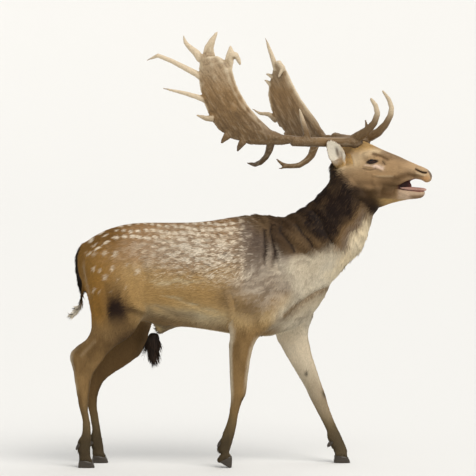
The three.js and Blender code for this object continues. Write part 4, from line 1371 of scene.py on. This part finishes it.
def lock_template(rings):
    """The points and faces of a closed spindle along X from 0 to 1, flat underneath."""
    shape = bmesh.new()
    base, top = [wide / 2 for _, wide in [*rings, (1.0, 0.0)][:2]]
    bmesh.ops.create_cone(shape, cap_ends=True, segments=3, radius1=base, radius2=top, depth=1.0)
    bmesh.ops.poke(shape, faces=[face for face in shape.faces if abs(face.normal.z) > 0.9])
    bmesh.ops.triangulate(shape, faces=shape.faces[:], quad_method="ALTERNATE")
    bmesh.ops.recalc_face_normals(shape, faces=shape.faces)
    shape.verts.index_update()
    points = []
    for vert in shape.verts:
        x, y, z = vert.co
        if math.hypot(x, y) < 0.01:
            points.append([float(z > 0), 0.0, 0.0])
        else:
            along, wide = rings[int(z > 0)]
            points.append([along, x * LOCK_SHAPE[0], (y + 0.25 * wide) * LOCK_SHAPE[1]])
    faces = [[vert.index for vert in face.verts] for face in shape.faces]
    shape.free()
    return np.array(points), np.array(faces)


SHORT, LONG = lock_template(SHORT_RINGS), lock_template(LONG_RINGS)
print("short lock:", len(SHORT[1]), "faces; long lock:", len(LONG[1]), "faces")


# %% Spread the roots evenly
def spread_roots(mesh, density):
    """Places and normals on a mesh, with a wanted number of roots to the square metre at each point."""
    mesh.calc_loop_triangles()
    corners = read(mesh.loop_triangles, "vertices", 3, np.int32)
    points, normals = points_of(mesh), normals_of(mesh)
    a, b, c = (points[corners[:, end]] for end in range(3))
    area = np.linalg.norm(np.cross(b - a, c - a), axis=1) / 2
    wanted = area * density[corners].mean(axis=1)
    cell = np.floor((a + b + c) / 3 / ROOT_CELL).astype(np.int64)
    order = np.lexsort((cell[:, 2], cell[:, 1], cell[:, 0]))
    total = np.cumsum(wanted[order])
    count = int(total[-1])
    ticks = (np.arange(count) + rng.random(count)) * total[-1] / count
    picked = order[np.minimum(np.searchsorted(total, ticks), len(order) - 1)]
    u, v = rng.random(count), rng.random(count)
    over = u + v > 1
    u[over], v[over] = 1 - u[over], 1 - v[over]
    shares = np.stack([1 - u - v, u, v], axis=1)[:, :, None]
    chosen = corners[picked]
    return (points[chosen] * shares).sum(axis=1), unit((normals[chosen] * shares).sum(axis=1))


ROOT_CELL = 0.016  # roots are dealt out cell by cell, so that each cell gets its share
DENSITY = (84e3, 70e3, 250e3, 260e3, 150e3, 130e3)  # in each of the zones
density = zoned(where, DENSITY)
density = density * (1 - np.clip(bare_mask(where) * 1.4, 0, 1)) * fade(14, 22, where["body"][:, 2])
root_points, root_normals = spread_roots(skin.data, density)
roots = {**zones(root_points), "points": root_points, "normals": root_normals}
print("roots:", len(root_points))


# %% The lie of the coat
def turned(way):
    """A direction in the head's axes, as one in the body's."""
    return np.array(way) @ HEAD_AXES


def lie(z):
    """Which way the hair lies, along the surface, at each root."""
    body, face = z["body"], z["face"]
    x, h = body[:, 0], body[:, 2]
    count = len(x)
    cheek = blended(
        turned([-1.0, 0.0, -0.12]),
        (turned([-1.0, 0.0, -0.35]), fade(150, 260, face[:, 0])),
        (turned([-0.4, 0.0, 0.9]), fade(40, 66, face[:, 2]) * fade(110, 60, face[:, 0])),
    )
    tail = blended(np.array([0.0, 0.0, -1.0]), ([-1.0, 0.0, -0.6], fade(575, 560, h)))
    ear = np.tile(EAR_LENGTH, (count, 1))
    ear[:, 1] *= np.sign(z["head"][:, 1])
    way = blended(
        np.array([-1.0, 0.0, -0.22]),
        ([-0.75, 0.0, -0.6], fade(-230, -400, x) * fade(860, 780, h)),
        ([-0.3, 0.0, -1.0], fade(-420, -470, x)),
        ([-0.55, 0.0, -0.75], fade(20, 120, x) * fade(800, 640, h)),
        ([-0.35, 0.0, -1.0], fade(200, 300, x) * fade(760, 640, h)),
        ([-0.5, 0.0, -0.86], z["neck"]),
        ([-0.1, 0.0, -1.0], z["neck"] * fade(60, 95, z["across_neck"])),
        ([-0.14, 0.0, -1.0], np.maximum(z["leg"], fade(560, 480, h) * fade(25, 35, z["out"][:, 1]))),
        (cheek, z["skull"]),
        (turned(ear), z["ear"]),
        (tail, z["tail"]),
    )
    swirl = np.stack([cloud(body, 34, seed=seed) - 0.5 for seed in (21, 22, 23)], axis=1)
    way = unit(way) + 0.55 * swirl + 0.16 * rng.normal(size=(count, 3))
    return unit(way - z["normals"] * (way * z["normals"]).sum(axis=1)[:, None])


print("a left ear points", turned(EAR_LENGTH).round(2), "in the body's axes")

# %% How long, wide, high and smooth each lock is
# Values in each of the zones. A smoothness of 1 gives a lock the hide's own normals.
LOCK_LENGTH = (17.0, 30.0, 7.0, 7.0, 10.0, 26.0)
LOCK_WIDTH = (2.7, 3.5, 1.3, 1.15, 1.7, 2.7)
LOCK_LIFT = (0.11, 0.14, 0.1, 0.09, 0.1, 0.05)
ROOT_SHADE = (0.32, 0.34, 0.12, 0.06, 0.16, 0.3)
SMOOTHNESS = (0.5, 0.45, 0.85, 0.9, 0.75, 0.3)
TONE_SPREAD = (0.3, 0.3, 0.16, 0.1, 0.2, 0.3)

length, width, lift, shade, smoothness = (
    zoned(roots, values) for values in (LOCK_LENGTH, LOCK_WIDTH, LOCK_LIFT, ROOT_SHADE, SMOOTHNESS)
)
face, body = roots["face"], roots["body"]
# shorter on the muzzle and round the eyes
near_eye = fade(40, 22, np.hypot(face[:, 0] - 116, face[:, 2] - 16)) * roots["skull"]
length = length * (1 - 0.45 * fade(170, 270, face[:, 0]) * roots["skull"]) * (1 - 0.45 * near_eye)
# longer on the crown, behind the jaw and in the ears
crown = fade(40, 62, face[:, 2]) * fade(100, 50, face[:, 0]) * roots["skull"]
length = length + 7.0 * crown + 6.0 * fade(60, 10, face[:, 0]) * roots["skull"]
inner_ear = roots["ear"] * (hide_colour(roots)[:, 0] > 0.45)
length = length + 9.0 * inner_ear * fade(70, 20, along_ear(roots["head"])[0])
# shorter down the legs, and longer behind the heels and over the hooves
length = length * (1 - 0.4 * fade(330, 120, body[:, 2]) * roots["leg"])
heel = fade(-0.2, -0.7, root_normals[:, 0]) * fade(40, 60, body[:, 2]) * fade(125, 100, body[:, 2])
length = length + 9.0 * heel + 3.0 * fade(48, 36, body[:, 2])
# longer under the belly and the throat, and shorter in the folds of the neck
under = fade(-0.3, -0.8, root_normals[:, 2]) * roots["trunk"]
throat = roots["neck"] * fade(60, 100, roots["across_neck"])
length = length + 7.0 * under + 8.0 * throat
neck_root = fade(430, 380, body[:, 0]) * fade(170, 200, body[:, 0]) * roots["neck"]
length = length * (1 - 0.5 * neck_folds(roots, 13.0)) * (1 - 0.35 * neck_root)
length = length * (0.75 + 0.5 * rng.random(len(length)))
roots["length"] = length
roots["width"] = width * (0.8 + 0.4 * rng.random(len(width)))
roots["lift"] = lift
roots["shade"] = shade * (1 - 0.5 * throat)
roots["smoothness"] = smoothness
print("locks from", round(float(length.min()), 1), "to", round(float(length.max()), 1), "mm")


# %% Colour each lock
def lock_colours(z):
    """The hide's colour at the root, with the flecks and the wear that make hair look alive."""
    colour = hide_colour(z)
    count = len(colour)
    fleck = rng.random(count)
    body = z["body"]
    x, h = body[:, 0], body[:, 2]
    grey = z["trunk"] * fade(-290, -170, x) * fade(610, 680, h) * (1 - 0.8 * spots(body))
    clump = cloud(body, (11, 11, 6), seed=31)
    pale = (clump + 0.5 * fleck > 0.98).astype(float)
    dark = (clump + 0.5 * fleck < 0.52).astype(float)
    strong = 0.25 + 0.75 * oval(body, (60, 745), (200, 95))
    strong = strong * fade(180, 110, x) * (1 - 0.7 * shoulder_blade(body))
    colour = blended(
        colour,
        (GRIZZLE_PALE * 1.1, 0.75 * grey * pale * strong),
        (GRIZZLE_DARK * 0.7, 0.7 * grey * dark * strong),
    )
    worn = 1 + zoned(z, TONE_SPREAD)[:, None] * (fleck[:, None] - 0.45)
    warm = 1 + 0.05 * (cloud(body, 50, seed=32)[:, None] - 0.5) * np.array([1.0, 0.2, -1.2])
    return blended(colour * worn * warm, (NECK_TAN, 0.14 * z["neck"] * fade(0.7, 1.0, fleck)))


roots["colour"] = lock_colours(roots)
roots["way"] = lie(roots)
roots["upright"] = upright_mask(roots)
print("locks coloured")


# %% Copy the lock to every root
UV_PATCH = 0.003  # how large a lock is on the map of its piece
BURIED = (0.03, 0.05)  # how deep a root lies: a share of the length, and millimetres
ARCH = (2.2, 0.55)  # how fast a lock rises, and how far it bends back
LEAN = 1.5  # how far the normals of an unsmoothed lock lean to its sides
EVEN = 0.62  # where along a lock its shade is neither darker nor lighter


def lock_mesh(name, locks, template, place_on_map):
    """One piece of locks, and each lock's patch on a map of the hide for the baking of its colours."""
    (points, faces), way, normal = template, locks["way"], locks["normals"]
    along, wide, high = points.T
    across = np.cross(normal, way)
    long_mm, wide_mm = locks["length"][:, None], locks["width"][:, None]
    arch = long_mm * locks["lift"][:, None] * ARCH[0] * along * (1 - ARCH[1] * along)
    up = arch - BURIED[0] * long_mm - BURIED[1] + wide_mm * high
    corners = locks["points"][:, None, :] + 0.001 * (
        (long_mm * along)[:, :, None] * way[:, None, :]
        + (wide_mm * wide)[:, :, None] * across[:, None, :]
        + up[:, :, None] * normal[:, None, :]
    )
    mesh = bpy.data.meshes.new(name)
    first = len(points) * np.arange(len(way))
    every_face = (faces[None, :, :] + first[:, None, None]).reshape(-1, 3)
    mesh.from_pydata(corners.reshape(-1, 3), [], every_face)
    tilt = (1 - locks["smoothness"])[:, None] * LEAN * wide
    facing = unit(normal[:, None, :] + tilt[:, :, None] * across[:, None, :])
    mesh.normals_split_custom_set_from_vertices(facing.reshape(-1, 3))
    shading = 1 + locks["shade"][:, None] * (along - EVEN)
    add_colours(mesh, "hide_colour", (shading[:, :, None] * locks["colour"][:, None, :]).reshape(-1, 3))
    add_values(mesh, "upright", np.repeat(locks["upright"], len(points)))
    centre = np.stack(place_on_map, axis=1)
    patch = np.stack([along - 0.5, wide], axis=1) * UV_PATCH
    on_map = (centre[:, None, :] + patch).reshape(-1, 2)
    layer = mesh.uv_layers.new(name="OFBake")
    layer.data.foreach_set("uv", on_map[every_face.ravel()].astype(np.float32).ravel())
    return new_object(name, mesh)


print("locks can be copied")


# %% Maps of the hide
def stretched(values):
    """Numbers spread over 0.01 to 0.99."""
    low, high = values.min(), values.max()
    return 0.01 + 0.98 * (values - low) / max(high - low, 1e-9)


def halves(first, value):
    """A map in two halves side by side, for things that come in pairs."""
    return np.where(first, 0.5 * value, 0.5 + 0.5 * value)


def trunk_map(z):
    """Along the body, and round it."""
    x, y, height = z["body"].T
    return stretched(x), stretched(np.arctan2(np.abs(y), height - 725))


def neck_map(z):
    """Up the neck, and round it."""
    return stretched(z["up_neck"]), stretched(np.arctan2(z["body"][:, 1], -z["across_neck"]))


def face_map(z):
    """Along the head, and round the middle of the skull and the muzzle."""
    x, y, height = z["head"].T
    middle = -30 - 44 * fade(60, 230, x)
    return stretched(x), stretched(np.arctan2(y, height - middle))


def ear_map(z):
    """Along each ear, and round it."""
    turn = np.arctan2(z["normals"] @ head_x, -z["normals"][:, 2])
    return halves(z["head"][:, 1] > 0, stretched(along_ear(z["head"])[0])), stretched(turn)


def limb_map(z):
    """Round each limb, and up it."""
    turn = np.arctan2(z["normals"][:, 1], z["normals"][:, 0])
    return halves(z["body"][:, 1] > 0, stretched(turn)), stretched(z["body"][:, 2])


print("maps ready")

# %% Lay the coat, piece by piece
part_of = np.argmax(np.stack([roots[name] for name in ZONES]), axis=0)
trunk, neck, skull, ear, leg, tail = (part_of == number for number in range(len(ZONES)))
right, front, fore = body[:, 1] < 0, body[:, 0] > -130, body[:, 0] > 50
COAT = [  # name, roots, lock, map, slot in the record, solid
    ("coat_rump_right", trunk & right & ~front, SHORT, trunk_map, "coat", "trunk"),
    ("coat_rump_left", trunk & ~right & ~front, SHORT, trunk_map, "coat", "trunk"),
    ("coat_shoulder_right", trunk & right & front, SHORT, trunk_map, "coat", "trunk"),
    ("coat_shoulder_left", trunk & ~right & front, SHORT, trunk_map, "coat", "trunk"),
    ("coat_neck_right", neck & right, LONG, neck_map, "neck_hair", "neck"),
    ("coat_neck_left", neck & ~right, LONG, neck_map, "neck_hair", "neck"),
    ("coat_face", skull, SHORT, face_map, "coat", "trunk"),
    ("coat_ears", ear, SHORT, ear_map, "coat", "trunk"),
    ("coat_forelegs", leg & fore, SHORT, limb_map, "coat", "trunk"),
    ("coat_hindlegs", leg & ~fore, SHORT, limb_map, "coat", "trunk"),
    ("coat_tail", tail, LONG, limb_map, "dark_hair", "tail"),
]
for name, chosen, template, hide_map, slot, solid in COAT:
    locks = {key: value[chosen] for key, value in roots.items()}
    item = lock_mesh(name, locks, template, hide_map(locks))
    hand_over(item, coat_paint, slot, solid)
    print(name, len(item.data.polygons), "faces")

# %% [markdown]
# ## The brush
#
# A buck carries a tassel of long black hair below his belly. The solid gives its place and reach. A
# wrapped, smoothed and shortened copy is its dark core, and locks of up to 60 mm hang over it in wisps.

# %% The core of the brush
BRUSH_VOXEL = 0.0035
CORE_THINNER = 7.0
CORE_LENGTH = 0.72  # of the solid's
CORE_ROUNDS = 30
brush_core = new_object("brush_core", wrapped("brush_core", ["brush"], BRUSH_VOXEL))
set_points(brush_core.data, relaxed(brush_core.data, CORE_ROUNDS))
shrunk = points_of(brush_core.data) - 0.001 * CORE_THINNER * normals_of(brush_core.data)
core_top = shrunk[:, 2].max()
shrunk[:, 2] = core_top - CORE_LENGTH * (core_top - shrunk[:, 2])
set_points(brush_core.data, shrunk)
brush_core.data.shade_smooth()
add_colours(brush_core.data, "hide_colour", np.tile(TAIL_BLACK, (len(shrunk), 1)))
hand_over(brush_core, coat_paint, "dark_hair", "brush")
print("core of the brush", len(brush_core.data.polygons), "faces")

# %% The locks of the brush
BRUSH_AXIS = -216  # where the middle of the brush is, in the body's axes
BRUSH_DENSITY = 110e3  # locks to the square metre
LONGEST_HAIR = 62
HAIR_BLACK = paint(44, 32, 24)
hair_points, hair_normals = spread_roots(brush_core.data, np.full(len(shrunk), BRUSH_DENSITY))
place = in_body(hair_points)
count = len(place)
wisp = np.stack([cloud(place, 13, seed=seed) - 0.5 for seed in (51, 52)], axis=1)
fall = np.concatenate([0.9 * wisp + rng.normal(0, 0.07, (count, 2)), -np.ones((count, 1))], axis=1)
fall = fall + 0.2 * hair_normals * [1, 1, 0]
reach = np.minimum(place[:, 2] - float(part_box("brush")[0][2]) * 1000 + 5, LONGEST_HAIR)
hairs = {
    "points": hair_points,
    "normals": unit(np.cross(np.cross(fall, hair_normals), fall)),
    "way": unit(fall),
    "length": reach * (0.62 + 0.38 * rng.random(count)) * (0.75 + 0.4 * cloud(place, 15, seed=53)),
    "width": 2.8 * (0.8 + 0.4 * rng.random(count)),
    "lift": np.full(count, 0.02),
    "shade": np.full(count, 0.4),
    "smoothness": np.full(count, 0.3),
    "upright": np.ones(count),
    "colour": HAIR_BLACK * (0.5 + 1.3 * rng.random(count) ** 2)[:, None],
}
turn = np.arctan2(place[:, 1], place[:, 0] - BRUSH_AXIS)
brush_hair = lock_mesh("brush_hair", hairs, LONG, (stretched(turn), stretched(place[:, 2])))
hand_over(brush_hair, coat_paint, "dark_hair", "brush")
print("brush", len(brush_hair.data.polygons), "faces")

# %% [markdown]
# ## The antlers
#
# Antler is bone: rough, grooved and brown where the velvet's vessels ran, and rubbed pale on rims and
# tips. The solids of one antler are wrapped as one piece with the burr, the ring of pearls at its base.
# Smoothing melts the facets, and most in the forks. Each solid's longest direction gives the way of the
# furrows, and how far a point stands out from a strongly smoothed copy tells rims and tips from hollows.
# From these the surface is roughened and painted: pale on rims and tips, brown towards the head.

# %% The burr
BURR_PLACE = np.array([50.5, 39.5, 80.0])  # for the left antler, in the head's axes
BURR_AXIS = unit(np.array([0.02, 0.42, 0.9]))
BURR_RADIUS = 21.0
BURR_CORE = 0.018
PEARL = 0.0052
PEARLS = 17


def burr(side):
    """A function that adds a ring of pearls round a core to a bmesh."""

    def add_ball(shape, detail, radius, spot):
        """Adds a ball at a place in the head's axes."""
        ball = bmesh.ops.create_icosphere(shape, subdivisions=detail, radius=radius)
        bmesh.ops.translate(shape, verts=ball["verts"], vec=Vector(from_head(spot)))

    def add_to(shape):
        """Adds the core and the pearls."""
        centre, axis = BURR_PLACE * [1, side, 1], BURR_AXIS * [1, side, 1]
        first = unit(np.cross(axis, [1.0, 0.0, 0.0]))
        second = np.cross(axis, first)
        add_ball(shape, 3, BURR_CORE, centre)
        for number in range(PEARLS):
            angle = math.tau * number / PEARLS
            spot = centre + BURR_RADIUS * (first * math.cos(angle) + second * math.sin(angle))
            add_ball(shape, 2, PEARL * (1 + 0.18 * math.sin(number * 2.4)), spot)

    return add_to


print("a burr of", PEARLS, "pearls")

# %% The antler's material
antler_bone, tree, shader = new_material("antler_bone", 0.5)
speckle = tree.nodes.new("ShaderNodeTexNoise")
speckle.inputs["Scale"].default_value = 260.0
speckle.inputs["Detail"].default_value = 3.0
wire(tree, tree.nodes.new("ShaderNodeTexCoord").outputs["Object"], speckle.inputs["Vector"])
mottle = ramp(tree, speckle.outputs["Fac"], [(0.32, 0.8), (0.55, 1.0), (0.72, 1.12)])
painted = mixed(tree, "RGBA", 1.0, layer_of(tree, "bone_colour", "Color"), mottle, "MULTIPLY")
wire(tree, painted, shader.inputs["Base Color"])
shader.inputs["Specular IOR Level"].default_value = 0.3
bumped(tree, shader, speckle.outputs["Fac"], 0.4, FINE_BUMP)
print("antler material ready")


# %% The way of the furrows, and what stands proud
def grain_ways(names, points):
    """At each point, the direction in which the nearest of the named solids is longest."""
    finder = KDTree(sum(len(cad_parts[name].data.vertices) for name in names))
    ways = []
    for name in names:
        own = points_of(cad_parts[name].data)
        longest = np.linalg.svd(own - own.mean(axis=0), full_matrices=False)[2][0]
        for spot in own:
            finder.insert(spot, len(ways))
            ways.append(longest * np.sign(longest[2] + 1e-9))
    finder.balance()
    return np.array(ways)[[finder.find(spot)[1] for spot in points]]


def standing_proud(mesh, rounds):
    """How many millimetres each point stands out from a copy smoothed for a number of rounds."""
    return ((points_of(mesh) - relaxed(mesh, rounds)) * normals_of(mesh)).sum(axis=1) * 1000


print("the furrows of a beam run", grain_ways(["antler_right_beam"], [(0.0, 0.0, 0.0)]).round(2))

# %% The colours of bone
BROW_TINES = 70  # they lie farther forwards than this in the head's axes
BONE_TAN = paint(134, 105, 68)
BONE_PALE = paint(186, 169, 142)
BONE_RIM = paint(216, 198, 170)
BONE_BROWN = paint(100, 77, 48)
BONE_DARK = paint(64, 47, 27)


def bone_colour(head, side, proud, furrow, distance):
    """Pale rims and tips, brown towards the head and underneath, darker in the furrows, and painted shade
    low on the right antler.
    """
    height = head[:, 2]
    patch = cloud(head, 30, seed=43) - 0.5
    brow = head[:, 0] > BROW_TINES
    return blended(
        BONE_TAN,
        (BONE_PALE, 0.5 * fade(250, 370, height + 40 * patch)),
        (BONE_BROWN, 0.85 * fade(230, 110, height + 60 * patch) * fade(130, 190, distance)),
        (BONE_BROWN, 0.9 * fade(190, 30, distance)),
        # painted shade low on the right antler
        (BONE_DARK, 0.6 * fade(90, 66, height) * (side < 0)),
        (BONE_DARK, (0.15 + 0.2 * fade(1.2, 0.2, proud)) * fade(0.48, 0.3, furrow)),
        (BONE_PALE, 0.2 * fade(0.52, 0.7, furrow)),
        (BONE_PALE, 0.8 * fade(0.6, 2.0, proud) * fade(110, 210, height)),
        (BONE_RIM, 0.6 * fade(1.2, 3.0, proud) * fade(120, 240, height)),
        (BONE_BROWN, 0.85 * brow * fade(200, 140, height)),
        (BONE_PALE, 0.8 * brow * fade(170, 225, height)),
    )


print("bone mixed; its tan is", BONE_TAN.round(3))

# %% Wrap, smooth and roughen an antler
ANTLER_VOXEL = 0.0026
WAY_ROUNDS, MELT_ROUNDS, FORK_ROUNDS = 60, 20, 60
HOLLOW_ROUNDS, PROUD_ROUNDS = 40, 70  # of the copies that hollows and rims are told from
FURROW_DEPTH = 1.5
PEARL_DEPTH = 2.2


def antler(word, side):
    """One whole antler, right or left."""
    names = sorted(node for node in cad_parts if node.startswith("antler_" + word))
    item = new_object(f"antler_{word}_whole", wrapped("antler", names, ANTLER_VOXEL, burr(side)))
    mesh = item.data
    ways = unit(averaged(mesh, grain_ways(names, points_of(mesh)), WAY_ROUNDS))
    set_points(mesh, relaxed_full(mesh, MELT_ROUNDS))
    hollow = np.repeat(fade(-0.1, -1.0, standing_proud(mesh, HOLLOW_ROUNDS))[:, None], 3, axis=1)
    hollow = averaged(mesh, hollow, 8)[:, 0]
    set_points(mesh, relaxed(mesh, FORK_ROUNDS * np.clip(1.5 * hollow, 0, 1)))
    points = points_of(mesh)
    proud = standing_proud(mesh, PROUD_ROUNDS)
    head = in_head(points)
    distance = np.linalg.norm(head - BURR_PLACE * [1, side, 1], axis=1)
    middle = (points - points.mean(axis=0)) * 1000
    drawn_out = middle - 0.9 * (middle * ways).sum(axis=1)[:, None] * ways
    furrow = 0.35 * cloud(drawn_out, 5.0, seed=41) + 0.65 * cloud(drawn_out, 2.8, seed=45)
    beside_rim = np.exp(-(((proud - 0.5) / 0.14) ** 2)) + 0.7 * np.exp(-(((proud - 0.2) / 0.08) ** 2))
    beside_rim = beside_rim * fade(60, 140, distance) * fade(270, 220, head[:, 2])
    tips = fade(2.6, 5.5, proud)
    pearled = (0.3 + PEARL_DEPTH * fade(75, 20, distance)) * (cloud(head, 5.5, seed=42) - 0.45)
    rough = FURROW_DEPTH * (furrow - 0.5) * (1 - 0.6 * tips) + pearled * (1 - tips)
    push(mesh, rough + 0.7 + 1.1 * fade(0.8, 3.0, proud) - 0.8 * beside_rim)
    painted = bone_colour(head, side, proud, furrow, distance)
    add_colours(mesh, "bone_colour", blended(painted, (BONE_DARK, 0.35 * beside_rim)))
    mesh.shade_smooth()
    hand_over(item, antler_bone, "antler", *names)
    print(item.name, len(mesh.polygons), "faces; proud", proud.min().round(1), proud.max().round(1))


for word, side in SIDES:
    antler(word, side)

# %% [markdown]
# ## Hooves and dewclaws
#
# Hoof is a hard dark horn with faint growth rings. The solids are wrapped and rounded, and whatever the
# rounding lifted off the floor is pressed flat again, so the deer stands on its soles. The top of each
# hoof is drawn in, to sit under the hair of the coronet.

# %% Horn
def streaked_material(name, roughness, scale, tones, detail=2.0, bump=0.0):
    """A material that changes between two tones in streaks, with a bump that follows them."""
    material, tree, shader = new_material(name, roughness)
    position = tree.nodes.new("ShaderNodeTexCoord").outputs["Object"]
    grain = streaks(tree, position, scale, detail)
    wire(tree, ramp(tree, grain, tones), shader.inputs["Base Color"])
    if bump > 0:
        bumped(tree, shader, grain, bump, FINE_BUMP)
    return material, shader


growth_rings = (40.0, 40.0, 520.0)
horn_tones = [(0.3, paint(40, 34, 27)), (0.75, paint(62, 52, 40))]
hoof_horn, _ = streaked_material("hoof_horn", 0.38, growth_rings, horn_tones, detail=3.0, bump=0.4)
print("material", hoof_horn.name)

# %% Round the hooves
HOOF_VOXEL = 0.0021
HOOF_ROUNDS = 22
SOLE = 0.0016  # what lies lower than this is sole
for foot_name in ("fore_right", "fore_left", "hind_right", "hind_left"):
    names = sorted(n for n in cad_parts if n.endswith(("a", "b")) and "_" + foot_name in n)
    foot = new_object("foot_" + foot_name, wrapped("foot", names, HOOF_VOXEL))
    before = points_of(foot.data)
    after = relaxed_full(foot.data, HOOF_ROUNDS)
    after[:, 2] = np.where(before[:, 2] < SOLE, 0.0, np.maximum(after[:, 2], 0.0))
    set_points(foot.data, after)
    point, way_up = coronet_plane(f"hoof_{foot_name}_a")
    above = (after - point) @ way_up * 1000
    push(foot.data, -4.5 * fade(-1, 6, above) * fade(30, 25, above) - fade(25, 30, above))
    foot.data.shade_smooth()
    hand_over(foot, hoof_horn, "hoof", *names)
    print(foot.name, len(foot.data.polygons), "faces")

# %% [markdown]
# ## The eyes
#
# A deer's eye is a dark brown ball with a long level pupil, under a clear wet bulge. Each ball is a
# sphere whose pole looks outwards. Its iris and pupil are stored on its points.

# %% Eyeballs
eye_wet, tree, shader = new_material("eye_wet", 0.12)
wire(tree, layer_of(tree, "eye_colour", "Color"), shader.inputs["Base Color"])
shader.inputs["Specular IOR Level"].default_value = 0.3
IRIS = 9.5
PUPIL = (6.5, 3.0)  # half as long and half as high
BALL_BROWN, IRIS_BROWN, PUPIL_BLACK = paint(52, 36, 26), paint(56, 33, 18), paint(8, 6, 6)
for word, side in SIDES:
    ball = bmesh.new()
    bmesh.ops.create_uvsphere(ball, u_segments=64, v_segments=48, radius=EYE_RADIUS)
    along, up, outward = eye_axes(side)
    local = np.array([vert.co for vert in ball.verts])
    ring = np.hypot(local[:, 0], local[:, 1])
    bulge = 1 + 0.07 * fade(IRIS + 2, 2, ring) * (local[:, 2] > 0)
    placed_points = (local * bulge[:, None]) @ np.array([along, up, outward]) + EYE * [1, side, 1]
    for vert, spot in zip(ball.verts, from_head(placed_points)):
        vert.co = Vector(spot)
    ball.normal_update()
    bmesh.ops.recalc_face_normals(ball, faces=ball.faces)
    eye = placed("eyeball_" + word, ball)
    front = local[:, 2] > 0
    iris = fade(IRIS + 0.8, IRIS - 0.8, ring) * front
    pupil = fade(1.15, 0.9, np.hypot(local[:, 0] / PUPIL[0], local[:, 1] / PUPIL[1])) * front
    rays = IRIS_BROWN * (0.7 + 0.6 * cloud(local, 1.5)[:, None])
    add_colours(eye.data, "eye_colour", blended(BALL_BROWN, (rays, iris), (PUPIL_BLACK, pupil)))
    eye.data.shade_smooth()
    hand_over(eye, eye_wet, "eye", "eye_" + word)
print("eyes set")

# %% [markdown]
# ## Tongue and teeth
#
# The tongue lies on the floor of the mouth, with a shallow groove along its middle. A deer has cutting
# teeth only in the lower jaw: eight small chisels in an arc behind the lip.

# %% The tongue
TONGUE_VOXEL = 0.0018
TONGUE_ROUNDS = 26
GROOVE_DEPTH, GROOVE_WIDTH = 1.6, 2.5
tongue = new_object("tongue_soft", wrapped("tongue_soft", ["tongue"], TONGUE_VOXEL))
set_points(tongue.data, relaxed(tongue.data, TONGUE_ROUNDS))
aside = in_head(points_of(tongue.data))[:, 1]
top = fade(0.2, 0.8, normals_of(tongue.data)[:, 2])
push(tongue.data, -GROOVE_DEPTH * np.exp(-((aside / GROOVE_WIDTH) ** 2)) * top)
flesh_tones = [(0.3, paint(156, 114, 102)), (0.7, paint(186, 146, 130))]
tongue_flesh, shader = streaked_material("tongue_flesh", 0.35, (500.0,) * 3, flesh_tones, bump=0.4)
shader.inputs["Subsurface Weight"].default_value = 0.1
tongue.data.shade_smooth()
hand_over(tongue, tongue_flesh, "tongue", "tongue")
print("tongue", len(tongue.data.polygons), "faces")

# %% The teeth
ARC_FORWARDS, ARC_HEIGHT, ARC_RADIUS = 274.0, -92.0, 11.0  # the arc's centre in the head's axes
TEETH = 8
TOOTH_TURN = 0.3  # from one tooth to the next
teeth_shape = bmesh.new()
for number in range(TEETH):
    angle = (number - (TEETH - 1) / 2) * TOOTH_TURN
    spot = [ARC_FORWARDS + ARC_RADIUS * math.cos(angle), ARC_RADIUS * math.sin(angle), ARC_HEIGHT]
    made = bmesh.ops.create_cube(teeth_shape, size=1.0)
    bmesh.ops.scale(teeth_shape, verts=made["verts"], vec=(2.2, 3.0, 11.0))
    crown = [vert for vert in made["verts"] if vert.co.z > 0]
    bmesh.ops.scale(teeth_shape, verts=crown, vec=(0.45, 1.15, 1.0))
    bmesh.ops.rotate(teeth_shape, verts=made["verts"], matrix=Matrix.Rotation(angle, 3, "Z"))
    bmesh.ops.translate(teeth_shape, verts=made["verts"], vec=spot)
bmesh.ops.bevel(
    teeth_shape, geom=teeth_shape.edges[:], affect="EDGES", offset=0.5, segments=2, profile=0.5, material=-1,
)
for vert in teeth_shape.verts:
    vert.co = Vector(from_head(np.array(vert.co)))
teeth = placed("teeth", teeth_shape)
teeth.data.shade_smooth()
enamel_tones = [(0.3, paint(196, 176, 132)), (0.7, paint(232, 222, 196))]
tooth_enamel, _ = streaked_material("tooth_enamel", 0.25, (300.0, 300.0, 120.0), enamel_tones)
hand_over(teeth, tooth_enamel, "tongue", "jaw")
print("teeth", len(teeth.data.polygons), "faces")

# %% The new box, and how far its corners moved from the solids' box
NEW_BOX = [list(corner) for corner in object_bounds()]
grown = (np.array(NEW_BOX) - np.array(CAD_BOX)) * 1000
print("the box's corners moved by", grown.round(1).tolist(), "mm")
